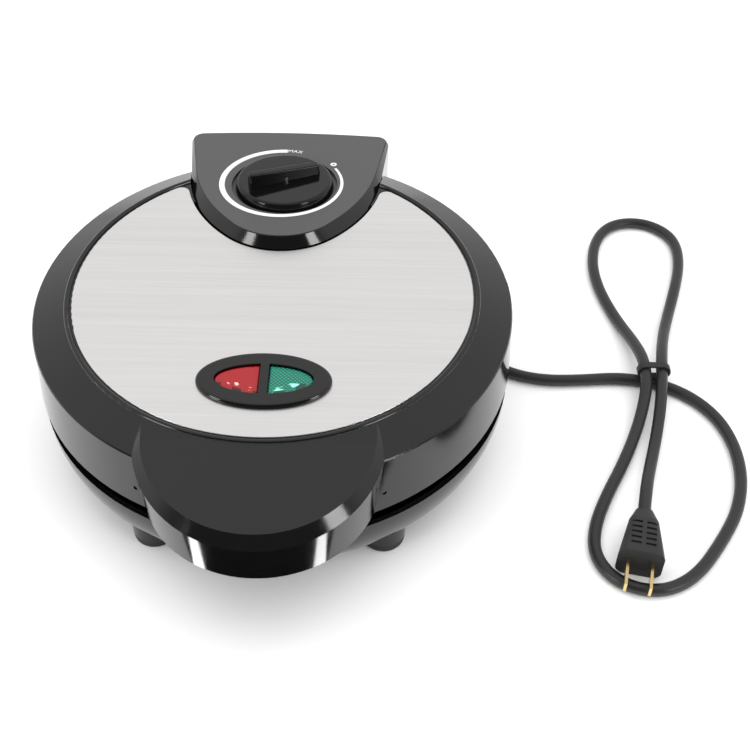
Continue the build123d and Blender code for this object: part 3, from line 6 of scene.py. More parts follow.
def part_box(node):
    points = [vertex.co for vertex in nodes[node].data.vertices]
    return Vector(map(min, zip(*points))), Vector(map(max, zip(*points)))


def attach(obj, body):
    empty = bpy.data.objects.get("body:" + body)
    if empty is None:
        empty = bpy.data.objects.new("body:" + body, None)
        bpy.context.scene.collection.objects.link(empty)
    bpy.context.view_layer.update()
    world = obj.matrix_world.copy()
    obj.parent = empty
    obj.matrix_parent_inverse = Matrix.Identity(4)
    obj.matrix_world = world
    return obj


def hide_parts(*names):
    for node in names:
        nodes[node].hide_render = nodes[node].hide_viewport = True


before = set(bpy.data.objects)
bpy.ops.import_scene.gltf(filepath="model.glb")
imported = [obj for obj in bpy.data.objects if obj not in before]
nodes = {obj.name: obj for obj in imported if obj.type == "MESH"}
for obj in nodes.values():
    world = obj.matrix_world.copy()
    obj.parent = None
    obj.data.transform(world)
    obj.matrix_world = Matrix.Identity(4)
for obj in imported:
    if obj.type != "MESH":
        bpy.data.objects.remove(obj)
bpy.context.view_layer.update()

# Base housing. One deep injection moulding in glossy black ABS: the bowl, the
# lower handle and the hinge ears. The polish shows as a faint orange peel.
def add_node(tree, kind, inputs=None, **settings):
    """Adds a shader node, sets it up, and feeds its inputs by name or number."""
    made = tree.nodes.new("ShaderNode" + kind)
    for name, value in settings.items():
        setattr(made, name, value)
    for key, value in (inputs or {}).items():
        if isinstance(value, bpy.types.NodeSocket):
            tree.links.new(value, made.inputs[key])
        else:
            made.inputs[key].default_value = value
    return made


def new_material(name, colour, roughness, **sockets):
    """A Principled surface; further sockets are set by their own names."""
    material = bpy.data.materials.new(name)
    material.use_nodes = True
    material.diffuse_color = (*colour, 1.0)
    shader = material.node_tree.nodes["Principled BSDF"]
    shader.inputs["Base Color"].default_value = (*colour, 1.0)
    shader.inputs["Roughness"].default_value = roughness
    for socket, value in sockets.items():
        shader.inputs[socket.replace("_", " ")].default_value = value
    return material


def new_group(name, inputs, outputs):
    """An empty node group with float inputs and typed outputs."""
    tree = bpy.data.node_groups.new(name, "ShaderNodeTree")
    for label, value in inputs.items():
        socket = tree.interface.new_socket(label, in_out="INPUT", socket_type="NodeSocketFloat")
        socket.default_value = value
    for label, kind in outputs.items():
        tree.interface.new_socket(label, in_out="OUTPUT", socket_type=kind)
    return tree, tree.nodes.new("NodeGroupInput"), tree.nodes.new("NodeGroupOutput")


def moulded_finish():
    """Roughness and height of a moulded skin.

    Two noises on Object coordinates: a wide one for the flow of the plastic
    and a fine one for the orange peel. Roughness runs from Low to High with
    the wide noise, and sparse thin scratches lift it a little further.
    """
    tree, given, made = new_group(
        "moulded_finish",
        {"Low": 0.12, "High": 0.2, "Peel": 900.0, "Scratches": 0.3},
        {"Roughness": "NodeSocketFloat", "Height": "NodeSocketFloat"},
    )
    place = add_node(tree, "TexCoord").outputs["Object"]
    flow = add_node(tree, "TexNoise", {"Vector": place, "Scale": 22.0, "Detail": 5.0})
    peel = add_node(tree, "TexNoise", {"Vector": place, "Scale": given.outputs["Peel"], "Detail": 2.0})
    turned = add_node(
        tree, "Mapping", {"Vector": place, "Rotation": (0.3, 0.5, 0.7), "Scale": (1.0, 26.0, 9.0)},
    )
    scratch = add_node(
        tree, "TexNoise", {"Vector": turned.outputs["Vector"], "Scale": 55.0, "Detail": 3.0},
    )
    kept = add_node(
        tree, "MapRange", {"Value": scratch.outputs["Fac"], "From Min": 0.66, "From Max": 0.74},
    )
    worn = add_node(
        tree, "Math", {0: kept.outputs["Result"], 1: given.outputs["Scratches"]}, operation="MULTIPLY",
    )
    span = add_node(tree, "MapRange", {
        "Value": flow.outputs["Fac"], "From Min": 0.35, "From Max": 0.65,
        "To Min": given.outputs["Low"], "To Max": given.outputs["High"],
    })
    lift = add_node(
        tree, "Math", {0: worn.outputs["Value"], 1: 0.12, 2: span.outputs["Result"]},
        operation="MULTIPLY_ADD",
    )
    tree.links.new(lift.outputs["Value"], made.inputs["Roughness"])
    tree.links.new(peel.outputs["Fac"], made.inputs["Height"])
    return tree


moulded = moulded_finish()


def dress_moulding(material, low, high, peel, scratches, bump):
    """Feeds a material's roughness and normal from the moulded finish.

    Low and high bound the roughness, peel is the scale of the orange peel,
    scratches their strength, and bump the strength of the relief.
    """
    tree = material.node_tree
    shader = tree.nodes["Principled BSDF"]
    skin = add_node(tree, "Group", node_tree=moulded)
    for label, value in (("Low", low), ("High", high), ("Peel", peel), ("Scratches", scratches)):
        skin.inputs[label].default_value = value
    relief = add_node(
        tree, "Bump", {"Strength": bump, "Distance": 0.0002, "Height": skin.outputs["Height"]},
    )
    tree.links.new(skin.outputs["Roughness"], shader.inputs["Roughness"])
    tree.links.new(relief.outputs["Normal"], shader.inputs["Normal"])
    return skin


def finish(names, material):
    """Gives CAD nodes one material."""
    for name in names:
        mesh = nodes[name].data
        mesh.materials.clear()
        mesh.materials.append(material)


abs_black = (0.004, 0.004, 0.0042)
abs_polish = (0.07, 0.13, 900.0, 0.25, 0.05)
gloss_black = new_material("gloss_black_abs", abs_black, 0.12)
dress_moulding(gloss_black, *abs_polish)
finish(["base_housing"], gloss_black)

# Feet and underside. Four black rubber feet with moulded studs, and a vented
# cover in satin black ABS held by four small zinc-plated screws.
rubber = new_material("black_rubber", (0.02, 0.02, 0.02), 0.62, Specular_IOR_Level=0.35)
dress_moulding(rubber, 0.5, 0.7, 2200.0, 0.1, 0.35)
finish(["foot_front_left", "foot_rear_left", "foot_front_right", "foot_rear_right"], rubber)
satin_black = new_material("satin_black_abs", (0.015, 0.015, 0.016), 0.4)
dress_moulding(satin_black, 0.34, 0.46, 2600.0, 0.2, 0.3)
finish(["bottom_cover", "handle_cover", "cord_clamp"], satin_black)
zinc = new_material("zinc_plated_steel", (0.56, 0.56, 0.55), 0.35, Metallic=1.0)
dress_moulding(zinc, 0.25, 0.42, 1500.0, 0.5, 0.12)
finish(
    ["cover_screws", "clamp_screws", "lower_plate_screws", "upper_plate_screws", "handle_screws",
     "pod_screws", "lower_post_washers", "upper_post_washers", "fuse_clip", "fuse_screw",
     "thermostat", "thermostat_shaft", "hinge_pin_left", "hinge_pin_right"],
    zinc,
)

# Grill plates. Cast aluminium with a dark non-stick coating, waffled on the
# cooking face. The coating is satin with a fine speckle.
plate_coating = new_material("plate_coating", (0.022, 0.022, 0.023), 0.42, Specular_IOR_Level=0.45)
dress_moulding(plate_coating, 0.34, 0.5, 1700.0, 0.35, 0.28)
finish(["lower_grill_plate", "upper_grill_plate"], plate_coating)

# Heating parts. Sheathed elements with heat tint, bright reflector pans,
# ceramic sleeves and brass tabs, all behind the plates.
tinted_steel = new_material("tinted_sheath", (0.22, 0.19, 0.17), 0.45, Metallic=1.0)
dress_moulding(tinted_steel, 0.35, 0.55, 800.0, 0.4, 0.2)
bright_sheet = new_material("bright_aluminium", (0.8, 0.8, 0.81), 0.22, Metallic=1.0)
dress_moulding(bright_sheet, 0.16, 0.3, 600.0, 0.6, 0.1)
ceramic = new_material("white_ceramic", (0.82, 0.8, 0.74), 0.3)
dress_moulding(ceramic, 0.25, 0.4, 1200.0, 0.1, 0.12)
brass = new_material("brass_strip", (0.72, 0.55, 0.25), 0.3, Metallic=1.0)
dress_moulding(brass, 0.22, 0.4, 900.0, 0.5, 0.1)
lead_sleeve = new_material("red_silicone", (0.42, 0.03, 0.025), 0.45)
dress_moulding(lead_sleeve, 0.4, 0.55, 1500.0, 0.1, 0.2)
finish(["lower_heating_element", "upper_heating_element"], tinted_steel)
finish(["lower_reflector", "upper_reflector", "thermostat_probe"], bright_sheet)
finish(["lower_insulators", "upper_insulators", "terminal_block", "thermal_fuse"], ceramic)
finish(["lower_terminal_tabs", "upper_terminal_tabs", "thermostat_nut", "plug_blades"], brass)
finish(["lower_leads", "upper_leads"], lead_sleeve)

# Lid housing. The ring, the skirt and the round handle, one glossy black ABS
# moulding. The mould leaves the handle's dished top satin, and its bevel glossy.
def level_mask(tree, low, high):
    """One where a face looks up: the normal's height passes from low to high."""
    normal = add_node(tree, "TexCoord").outputs["Normal"]
    height = add_node(tree, "SeparateXYZ", {"Vector": normal}).outputs["Z"]
    span = add_node(tree, "MapRange", {"Value": height, "From Min": low, "From Max": high})
    return span.outputs["Result"]


def front_mask(tree, back, front):
    """One in front of a line across the object: Y passes from back to front."""
    place = add_node(tree, "TexCoord").outputs["Object"]
    along = add_node(tree, "SeparateXYZ", {"Vector": place}).outputs["Y"]
    span = add_node(tree, "MapRange", {"Value": along, "From Min": back, "From Max": front})
    return span.outputs["Result"]


def satin_where(material, skin, mask, low, high, colour):
    """Turns a gloss moulding satin inside a mask, in a colour of its own."""
    tree = material.node_tree
    shader = tree.nodes["Principled BSDF"]
    place = add_node(tree, "TexCoord").outputs["Object"]
    grain = add_node(tree, "TexNoise", {"Vector": place, "Scale": 2600.0})
    satin = add_node(
        tree, "MapRange", {"Value": grain.outputs["Fac"], "To Min": low, "To Max": high},
    )
    rough = add_node(tree, "Mix", {
        "Factor": mask, 2: skin.outputs["Roughness"], 3: satin.outputs["Result"],
    }, data_type="FLOAT")
    tint = add_node(tree, "Mix", {
        "Factor": mask, 6: tuple(shader.inputs["Base Color"].default_value), 7: (*colour, 1.0),
    }, data_type="RGBA")
    tree.links.new(rough.outputs[0], shader.inputs["Roughness"])
    tree.links.new(tint.outputs[2], shader.inputs["Base Color"])


dish_back, dish_front = -0.101, -0.103
dish_black = (0.005, 0.005, 0.0052)
lid_black = new_material("lid_black_abs", abs_black, 0.12)
lid_skin = dress_moulding(lid_black, *abs_polish)
lid_tree = lid_black.node_tree
dish = add_node(
    lid_tree, "Math",
    {0: level_mask(lid_tree, 0.945, 0.965), 1: front_mask(lid_tree, dish_back, dish_front)},
    operation="MULTIPLY",
)
satin_where(lid_black, lid_skin, dish.outputs["Value"], 0.3, 0.42, dish_black)
finish(["lid_housing"], lid_black)

# Steel top. A thin disc of brushed stainless with a rolled edge, let into the
# ring. The grain runs from side to side, with faint bands along it.
grain_dark = (0.58, 0.568, 0.558, 1.0)
grain_pale = (1.0, 0.985, 0.975, 1.0)


def brushed_grain():
    """Colour, roughness and height of brushed sheet.

    A noise stretched along X gives the hairlines, a second one the longer and
    wider streaks, and a third the cloudy bands of the brushing belt.
    """
    tree, given, made = new_group(
        "brushed_grain", {"Hairline": 1100.0, "Streak": 140.0, "Contrast": 0.5},
        {"Color": "NodeSocketColor", "Roughness": "NodeSocketFloat", "Height": "NodeSocketFloat"},
    )
    place = add_node(tree, "TexCoord").outputs["Object"]
    drawn = add_node(tree, "Mapping", {"Vector": place, "Scale": (0.012, 1.0, 1.0)}).outputs["Vector"]
    hair = add_node(
        tree, "TexNoise", {"Vector": drawn, "Scale": given.outputs["Hairline"], "Detail": 4.0},
    )
    streak = add_node(
        tree, "TexNoise", {"Vector": drawn, "Scale": given.outputs["Streak"], "Detail": 3.0},
    )
    wide = add_node(tree, "Mapping", {"Vector": place, "Scale": (4.0, 26.0, 5.0)}).outputs["Vector"]
    band = add_node(tree, "TexNoise", {"Vector": wide, "Scale": 1.0, "Detail": 3.0})
    lines = add_node(
        tree, "Mix", {"Factor": 0.45, 2: hair.outputs["Fac"], 3: streak.outputs["Fac"]},
        data_type="FLOAT",
    )
    centred = add_node(tree, "Math", {0: lines.outputs[0], 1: 0.5}, operation="SUBTRACT")
    scaled = add_node(
        tree, "Math", {0: centred.outputs["Value"], 1: given.outputs["Contrast"], 2: 0.5},
        operation="MULTIPLY_ADD",
    )
    colour = add_node(tree, "Mix", {
        "Factor": scaled.outputs["Value"], 6: grain_dark, 7: grain_pale,
    }, data_type="RGBA")
    rough = add_node(tree, "MapRange", {
        "Value": band.outputs["Fac"], "From Min": 0.3, "From Max": 0.7, "To Min": 0.26, "To Max": 0.4,
    })
    tree.links.new(colour.outputs[2], made.inputs["Color"])
    tree.links.new(rough.outputs["Result"], made.inputs["Roughness"])
    tree.links.new(lines.outputs[0], made.inputs["Height"])
    return tree


steel = new_material("brushed_stainless", (0.66, 0.655, 0.65), 0.3, Metallic=1.0)
steel_tree = steel.node_tree
grain = add_node(steel_tree, "Group", node_tree=brushed_grain())
grain_relief = add_node(
    steel_tree, "Bump", {"Strength": 0.12, "Distance": 0.0002, "Height": grain.outputs["Height"]},
)
steel_shader = steel_tree.nodes["Principled BSDF"]
steel_tree.links.new(grain.outputs["Color"], steel_shader.inputs["Base Color"])
steel_tree.links.new(grain.outputs["Roughness"], steel_shader.inputs["Roughness"])
steel_tree.links.new(grain_relief.outputs["Normal"], steel_shader.inputs["Normal"])
finish(["steel_top"], steel)

# Lamp window. A glossy black oval bezel clipped into the steel, two moulded
# lenses over neon lamps, and the white tray that holds them.
finish(["lamp_bezel"], gloss_black)
tray_white = new_material("tray_white", (0.85, 0.84, 0.8), 0.4)
dress_moulding(tray_white, 0.35, 0.5, 1500.0, 0.1, 0.1)
finish(["lamp_tray", "neon_lamps"], tray_white)

window_low, window_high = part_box("lamp_bezel")
window_centre = [(low + high) / 2 for low, high in zip(window_low, window_high)]
lens_half = (0.0247, 0.0103)
teeth_edge = -0.2
teeth_gap = 0.55
ledge_width = 0.2
hatch_pitch = 0.0015


def lens_cut():
    """Masks of a lens moulded with teeth and a cross-hatch, and of a painted highlight on its ledge.

    In the oval's own measure, (u, v) = (x / half length, y / half width), with
    s = sqrt(u*u + v*v), the teeth lie where s > Rim and v < teeth_edge, one for
    each pitch along x. A painted highlight lies on the ledge just inside them, broken up by a noise.
    The cross-hatch is the smaller of two sine ridges at 45 degrees.
    """
    tree, given, made = new_group(
        "lens_cut", {"Rim": 0.76, "Pitch": 0.0104, "Hatch": 0.0, "PaintedHighlight": 0.5},
        {"Tooth": "NodeSocketFloat", "PaintedHighlight": "NodeSocketFloat", "Ridge": "NodeSocketFloat",
         "Height": "NodeSocketFloat"},
    )

    def reckon(operation, *values):
        """The result of a Math node on its inputs, in their order."""
        inputs = dict(enumerate(values))
        return add_node(tree, "Math", inputs, operation=operation).outputs["Value"]

    place = add_node(tree, "TexCoord").outputs["Object"]
    moved = add_node(
        tree, "VectorMath", {0: place, 1: (window_centre[0], window_centre[1], 0.0)},
        operation="SUBTRACT",
    ).outputs["Vector"]
    oval = add_node(
        tree, "VectorMath", {0: moved, 1: (1 / lens_half[0], 1 / lens_half[1], 0.0)},
        operation="MULTIPLY",
    ).outputs["Vector"]
    size = add_node(tree, "VectorMath", {0: oval}, operation="LENGTH").outputs["Value"]
    down = add_node(tree, "SeparateXYZ", {"Vector": oval}).outputs["Y"]
    ahead = reckon("LESS_THAN", down, teeth_edge)
    along = add_node(tree, "SeparateXYZ", {"Vector": moved}).outputs["X"]
    steps = reckon("DIVIDE", along, given.outputs["Pitch"])
    in_tooth = reckon("GREATER_THAN", reckon("FRACT", steps), teeth_gap)
    rim = reckon("MULTIPLY", reckon("GREATER_THAN", size, given.outputs["Rim"]), ahead)
    tooth = reckon("MULTIPLY", rim, in_tooth)
    inner = reckon("GREATER_THAN", size, reckon("SUBTRACT", given.outputs["Rim"], ledge_width))
    ledge = reckon("MULTIPLY", reckon("SUBTRACT", inner, rim), ahead)
    # The painted highlight: blobs of noise on the ledge make its base colour paler.
    blotch = add_node(tree, "TexNoise", {"Vector": moved, "Scale": 210.0, "Detail": 1.0})
    broken = add_node(
        tree, "MapRange", {"Value": blotch.outputs["Fac"], "From Min": 0.5, "From Max": 0.58},
    ).outputs["Result"]
    painted_highlight = reckon("MULTIPLY", reckon("MULTIPLY", ledge, broken), given.outputs["PaintedHighlight"])
    ridges = []
    for turn in (np.radians(45.0), np.radians(-45.0)):
        slanted = add_node(tree, "Mapping", {"Vector": moved, "Rotation": (0.0, 0.0, turn)})
        across = add_node(tree, "SeparateXYZ", {"Vector": slanted.outputs["Vector"]}).outputs["X"]
        ridges.append(reckon("SINE", reckon("MULTIPLY", across, 2 * np.pi / hatch_pitch)))
    ridge = reckon("MULTIPLY", reckon("MINIMUM", ridges[0], ridges[1]), given.outputs["Hatch"])
    tree.links.new(tooth, made.inputs["Tooth"])
    tree.links.new(painted_highlight, made.inputs["PaintedHighlight"])
    tree.links.new(ridge, made.inputs["Ridge"])
    tree.links.new(reckon("SUBTRACT", ridge, tooth), made.inputs["Height"])
    return tree


lens_pattern = lens_cut()


def lens_material(name, dark, plain, pale, hatch, painted_highlight):
    """A tinted lens whose cut shows in painted shade, a painted highlight and its relief.

    Dark is painted shade in the teeth and the grooves, pale is a painted highlight on the ledge, and
    plain is the rest.
    """
    material = new_material(name, plain, 0.1, Specular_IOR_Level=0.6)
    tree = material.node_tree
    shader = tree.nodes["Principled BSDF"]
    cut = add_node(tree, "Group", {"Hatch": hatch, "PaintedHighlight": painted_highlight}, node_tree=lens_pattern)
    # Painted shade: the hatch's grooves and the sunk teeth are darkened in the base colour.
    shaded = add_node(tree, "MapRange", {
        "Value": cut.outputs["Ridge"], "From Min": -1.0, "From Max": 1.0, "To Min": 0.9, "To Max": -0.9,
    })
    painted_shade_share = add_node(
        tree, "Math", {0: cut.outputs["Tooth"], 1: shaded.outputs["Result"]}, operation="MAXIMUM",
    )
    with_painted_shade = add_node(tree, "Mix", {
        "Factor": painted_shade_share.outputs["Value"], 6: (*plain, 1.0), 7: (*dark, 1.0),
    }, data_type="RGBA")
    # Painted highlight: the ledge is made paler in the base colour.
    with_painted_highlight = add_node(tree, "Mix", {
        "Factor": cut.outputs["PaintedHighlight"], 6: with_painted_shade.outputs[2], 7: (*pale, 1.0),
    }, data_type="RGBA")
    relief = add_node(
        tree, "Bump", {"Strength": 0.3, "Distance": 0.0003, "Height": cut.outputs["Height"]},
    )
    tree.links.new(with_painted_highlight.outputs[2], shader.inputs["Base Color"])
    tree.links.new(relief.outputs["Normal"], shader.inputs["Normal"])
    return material


# Both lenses get painted shade in their teeth and grooves and a painted highlight along the front ledge.
red_plastic = lens_material(
    "red_lens", dark=(0.05, 0.0, 0.001), plain=(0.33, 0.004, 0.008), pale=(0.95, 0.6, 0.55),
    hatch=0.15, painted_highlight=0.9,
)
green_plastic = lens_material(
    "green_lens", dark=(0.0, 0.05, 0.035), plain=(0.004, 0.27, 0.175), pale=(0.35, 0.95, 0.75),
    hatch=1.0, painted_highlight=0.9,
)
finish(["red_lens"], red_plastic)
finish(["green_lens"], green_plastic)

# Control pod. A black ABS hood screwed to the lid's rear block. Its tilted top
# is spark-eroded matt, and the band and flanks below it are polished.
matt_black = (0.062, 0.062, 0.063)
pod_black = new_material("pod_black_abs", abs_black, 0.12)
pod_skin = dress_moulding(pod_black, 0.07, 0.14, 1200.0, 0.2, 0.08)
pod_top = level_mask(pod_black.node_tree, 0.97, 0.99)
satin_where(pod_black, pod_skin, pod_top, 0.42, 0.55, matt_black)
finish(["control_pod"], pod_black)

# Dial print, white ink on the pod's matt top. A line that swells from the off
# mark round to the hottest setting, a small ring for off, and the word at the end.
dial_centre = np.array([0.0, 0.095373, 0.098620])
dial_tilt = np.radians(4.6)
dial_right = np.array([1.0, 0.0, 0.0])
dial_rear = np.array([0.0, np.cos(dial_tilt), -np.sin(dial_tilt)])
dial_up = np.array([0.0, np.sin(dial_tilt), np.cos(dial_tilt)])
print_centre = (-0.0013, 0.0018)
ink_height = 0.00006


def on_dial(across, along, height):
    """Points of the dial's tilted plane: centre + x*right + y*rear + z*up."""
    grid = np.stack([across + 0 * height, along + 0 * height, height + 0 * across], axis=-1)
    return dial_centre + grid @ np.array([dial_right, dial_rear, dial_up])


def print_on_lid(name, mesh):
    """Makes a printed mesh a piece of its own in white ink, on the lid."""
    mesh.update()
    mesh.materials.clear()
    mesh.materials.append(white_ink)
    piece = bpy.data.objects.new(name, mesh)
    bpy.context.scene.collection.objects.link(piece)
    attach(piece, "lid")


def ink_band(name, angles, inner, outer, centre, closed):
    """A flat printed band round a centre.

    At each angle a its section is a rectangle from inner(a) to outer(a), as
    high as the ink: (cx + r cos a, cy + r sin a, z), with r in (inner, outer)
    and z in (-ink, ink). Open bands have an end face at each end.
    """
    radii = np.stack([inner, outer, outer, inner], axis=1)
    levels = np.tile([-ink_height, -ink_height, ink_height, ink_height], (len(angles), 1))
    points = on_dial(
        centre[0] + radii * np.cos(angles)[:, None], centre[1] + radii * np.sin(angles)[:, None], levels,
    )
    count = len(angles)
    rows = np.arange(count if closed else count - 1)[:, None]
    sides = np.arange(4)[None, :]
    after = (rows + 1) % count
    faces = np.stack(
        [4 * rows + sides, 4 * rows + (sides + 1) % 4, 4 * after + (sides + 1) % 4, 4 * after + sides],
        axis=-1,
    ).reshape(-1, 4).tolist()
    if not closed:
        last = 4 * (count - 1)
        faces += [[3, 2, 1, 0], [last, last + 1, last + 2, last + 3]]
    mesh = bpy.data.meshes.new(name)
    mesh.from_pydata(points.reshape(-1, 3).tolist(), [], faces)
    mesh.validate()
    print_on_lid(name, mesh)


white_ink = new_material("white_ink", (0.78, 0.78, 0.77), 0.45)
dress_moulding(white_ink, 0.4, 0.55, 1800.0, 0.1, 0.15)
# The line: its width goes from thin to wide as 1 - (1 - share)^2.
line_steps, line_radius = 181, 0.03385
line_thin, line_swell = 0.0014, 0.0020
line_start, line_stop = np.radians(29.0), np.radians(-271.0)
sweep = np.linspace(line_start, line_stop, line_steps)
share = np.linspace(0.0, 1.0, line_steps)
line_inner = np.full(line_steps, line_radius)
line_outer = line_inner + line_thin + line_swell * (1 - (1 - share) ** 2)
ink_band("dial_scale", sweep, line_inner, line_outer, print_centre, False)
# The ring that marks off.
off_angle, off_out = np.radians(36.2), 0.036
off_inner, off_outer, off_steps = 0.0007, 0.0019, 40
off_centre = (
    print_centre[0] + off_out * np.cos(off_angle), print_centre[1] + off_out * np.sin(off_angle),
)
around = np.linspace(2 * np.pi, 0.0, off_steps, endpoint=False)
ink_band(
    "off_mark", around, np.full(off_steps, off_inner), np.full(off_steps, off_outer), off_centre, True,
)

# The word, bent round the dial: its width runs along the angle, its height outwards.
word = bpy.data.curves.new("hot_word", "FONT")
word.body = "MAX"
word.extrude = ink_height
word_source = bpy.data.objects.new("hot_word", word)
bpy.context.scene.collection.objects.link(word_source)
bpy.context.view_layer.update()
word_mesh = bpy.data.meshes.new_from_object(word_source)
bpy.data.objects.remove(word_source)
letters = np.empty(len(word_mesh.vertices) * 3)
word_mesh.vertices.foreach_get("co", letters)
letters = letters.reshape(-1, 3)
low, high = letters.min(axis=0), letters.max(axis=0)
start_angle, stop_angle = np.radians(88.2), np.radians(74.0)
word_foot, word_height = 0.0345, 0.0029
bend = start_angle + (stop_angle - start_angle) * (letters[:, 0] - low[0]) / (high[0] - low[0])
reach = word_foot + word_height * (letters[:, 1] - low[1]) / (high[1] - low[1])
placed = on_dial(
    print_centre[0] + reach * np.cos(bend), print_centre[1] + reach * np.sin(bend), letters[:, 2],
)
word_mesh.vertices.foreach_set("co", placed.ravel())
print_on_lid("hot_word", word_mesh)

# Dial knob. One glossy black ABS moulding with a tapered grip, pushed on the
# thermostat's shaft.
knob_black = new_material("knob_black_abs", abs_black, 0.12, Specular_IOR_Level=0.32)
dress_moulding(knob_black, 0.08, 0.14, 900.0, 0.25, 0.05)
finish(["dial_knob"], knob_black)

# Power cord. Black vinyl lead, 7 mm across, that loops beside the cooker and is
# tied where its strands cross; its strain relief is moulded on.
cord_jacket = new_material("cord_vinyl", (0.014, 0.014, 0.015), 0.45)
dress_moulding(cord_jacket, 0.36, 0.5, 1800.0, 0.2, 0.15)
cord_radius = 0.0035
plate_low, plate_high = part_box("upper_grill_plate")
plate_axis = np.array([0.0, (plate_low[1] + plate_high[1]) / 2, 0.0])
# Millimetres, measured from the plates' axis. The first two points are the way out
# of the strain relief, and the last two the way into the plug.
cord_route = [
    (28, 155.5, 22), (28, 175.5, 22),
    (38.6, 193.9, 16.5), (56.9, 204.5, 9),
    (78.1, 204.5, 4.4), (96.4, 193.9, 3.6), (107, 175.6, 3.6), (108.2, 152, 3.6),
    (108.6, 127, 3.6), (106.6, 103, 3.6), (107.6, 80.5, 3.6), (110.6, 60.4, 3.6),
    (121.2, 43, 3.6), (137.8, 31.2, 3.6), (157.6, 26.3, 3.6), (180, 27.3, 3.6),
    (203, 30, 3.6), (224, 26.5, 3.6), (243, 16.5, 3.6), (257, -1, 3.6),
    (263, -23, 3.6), (262.5, -47, 3.6), (255.5, -71, 3.6), (242, -93, 3.6),
    (226.5, -113.5, 3.6), (210.2, -123.9, 3.6), (193.6, -124.3, 3.6), (179.6, -116.1, 3.6),
    (172.8, -101.3, 3.6), (175.4, -83.3, 3.6), (184, -62.8, 3.6), (195.5, -41, 3.6),
    (205.5, -19, 3.8), (212.6, 0, 8.2), (217, 18, 12.5), (217.6, 38, 12.5),
    (214.3, 58, 8.6), (209, 79, 3.8), (202.5, 101, 3.6), (199, 122, 3.6),
    (199.5, 142, 3.6), (203.8, 160, 3.6), (212.4, 174.8, 3.6), (225.8, 181.9, 3.6),
    (240.9, 180.8, 3.6), (253.2, 171.9, 3.6), (258.8, 157.9, 3.6), (257, 136, 3.6),
    (249.5, 110, 3.6), (240, 82, 3.8), (233.3, 60, 8.2), (228.6, 38, 12.5),
    (225.8, 18, 12.5), (222.3, -2, 9), (217, -23, 5), (210.5, -44, 6.5),
    (205, -62.5, 11), (201.4, -79.5, 11),
]
cord_line = (plate_axis + np.array(cord_route) / 1000).tolist()
cord_curve = bpy.data.curves.new("power_cord_line", "CURVE")
cord_curve.dimensions = "3D"
cord_curve.bevel_depth = cord_radius
cord_curve.bevel_resolution = 6
cord_curve.resolution_u = 8
cord_curve.use_fill_caps = True
spline = cord_curve.splines.new("NURBS")
spline.points.add(len(cord_line) - 1)
for point, place in zip(spline.points, cord_line):
    point.co = (*place, 1.0)
spline.order_u = 3
spline.use_endpoint_u = True
cord_curve.materials.append(cord_jacket)
cord_piece = bpy.data.objects.new("cord_lead", cord_curve)
bpy.context.scene.collection.objects.link(cord_piece)
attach(cord_piece, "base")
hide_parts("power_cord")
finish(["inner_cord"], cord_jacket)
finish(["strain_relief", "mains_plug", "cord_tie"], rubber)

# Studio. A plain pale floor under a bright ceiling. The room in front is dark but
# for two softboxes beside the camera. A black card and two strips of light on the
# floor show only in the gloss, as the dark and bright bands of the handle's front.
floor_mesh = bpy.data.meshes.new("studio_floor")
floor_half = 6.0
floor_corners = [(x * floor_half, y * floor_half, 0.0) for x, y in ((-1, -1), (1, -1), (1, 1), (-1, 1))]
floor_mesh.from_pydata(floor_corners, [], [(0, 1, 2, 3)])
floor = bpy.data.objects.new("studio_floor", floor_mesh)
bpy.context.scene.collection.objects.link(floor)
floor_paint = new_material("studio_paper", (0.95, 0.95, 0.95), 0.9, Specular_IOR_Level=0.05)
floor_mesh.materials.append(floor_paint)

world = bpy.data.worlds.new("studio_world")
world.use_nodes = True
world_tree = world.node_tree
room_dark, room_bright = 0.08, 0.92
dark_from, bright_from = -0.6, -0.12
direction = add_node(world_tree, "TexCoord").outputs["Generated"]
toward = add_node(world_tree, "SeparateXYZ", {"Vector": direction}).outputs["Y"]
room = add_node(world_tree, "MapRange", {
    "Value": toward, "From Min": dark_from, "From Max": bright_from,
    "To Min": room_dark, "To Max": room_bright,
}, interpolation_type="SMOOTHSTEP")
world_tree.links.new(room.outputs["Result"], world_tree.nodes["Background"].inputs["Strength"])
world_tree.nodes["Background"].inputs["Color"].default_value = (1.0, 1.0, 1.0, 1.0)
bpy.context.scene.world = world


def soft_box(name, place, aim, width, height, power, mirrored=True):
    """A rectangular area light that faces its aim."""
    lamp = bpy.data.lights.new(name, "AREA")
    lamp.shape = "RECTANGLE"
    lamp.size = width
    lamp.size_y = height
    lamp.energy = power
    box = bpy.data.objects.new(name, lamp)
    box.location = place
    box.rotation_euler = (Vector(aim) - Vector(place)).to_track_quat("-Z", "Y").to_euler()
    box.visible_glossy = mirrored
    bpy.context.scene.collection.objects.link(box)


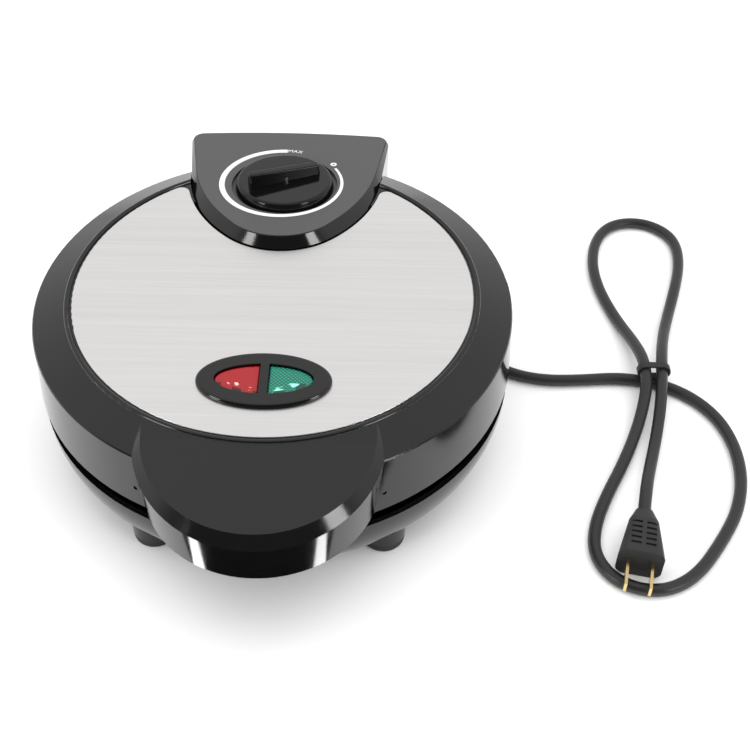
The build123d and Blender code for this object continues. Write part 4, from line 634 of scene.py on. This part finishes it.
soft_box(
    "overhead_diffuser", place=(0.1, 0.0, 2.6), aim=(0.1, 0.0, 0.0), width=3.6, height=3.6,
    power=62.0, mirrored=False,
)
soft_box(
    "front_fill", place=(0.1, -2.3, 0.9), aim=(0.05, -0.2, 0.0), width=2.0, height=0.9,
    power=16.0, mirrored=False,
)
for name, side in (("left_box", -1), ("right_box", 1)):
    soft_box(
        name, place=(side * 1.48, -1.1, 0.84), aim=(0.0, -0.14, 0.07), width=0.5, height=0.6,
        power=10.0,
    )


def floor_card(name, centre, width, depth, turn, strength, height):
    """A card on the floor that only the gloss mirrors: black, or a light of its own.

    Its corners are centre +- across * width / 2 +- along * depth / 2, with
    across and along turned about the upright.
    """
    across = np.array([np.cos(turn), np.sin(turn), 0.0]) * width / 2
    along = np.array([-np.sin(turn), np.cos(turn), 0.0]) * depth / 2
    signs = np.array([(-1, -1), (1, -1), (1, 1), (-1, 1)])
    corners = np.array([*centre, height]) + signs @ np.array([across, along])
    mesh = bpy.data.meshes.new(name)
    mesh.from_pydata(corners.tolist(), [], [(0, 1, 2, 3)])
    paper = new_material(name, (0.0, 0.0, 0.0), 1.0, Specular_IOR_Level=0.0)
    shader = paper.node_tree.nodes["Principled BSDF"]
    shader.inputs["Emission Color"].default_value = (1.0, 1.0, 1.0, 1.0)
    shader.inputs["Emission Strength"].default_value = strength
    mesh.materials.append(paper)
    card = bpy.data.objects.new(name, mesh)
    bpy.context.scene.collection.objects.link(card)
    card.visible_camera = False
    card.visible_diffuse = False
    card.visible_shadow = False


floor_card("black_card", (0.0275, -0.36), 0.225, 0.42, turn=0.0, strength=0.0, height=0.001)
for name, side in (("left_strip", -1), ("right_strip", 1)):
    floor_card(
        name, (side * 0.076, -0.165), 0.07, 0.013, turn=-side * 0.423, strength=9.0, height=0.002,
    )
bpy.context.scene.view_settings.view_transform = "Standard"

# The camera's place and turn were fitted to the photograph's ellipses.
camera = bpy.data.cameras.new("studio_camera")
camera.lens = 58.13
camera.sensor_width = 36.0
camera.clip_start = 0.05
viewer = bpy.data.objects.new("studio_camera", camera)
viewer.matrix_world = Matrix((
    (0.99978962, -0.02027013, -0.00313557, 0.05286),
    (0.01222647, 0.71169988, -0.70237724, -0.48095),
    (0.01646887, 0.70219114, 0.71179799, 0.52523),
    (0.0, 0.0, 0.0, 1.0),
))
bpy.context.scene.collection.objects.link(viewer)
bpy.context.scene.camera = viewer
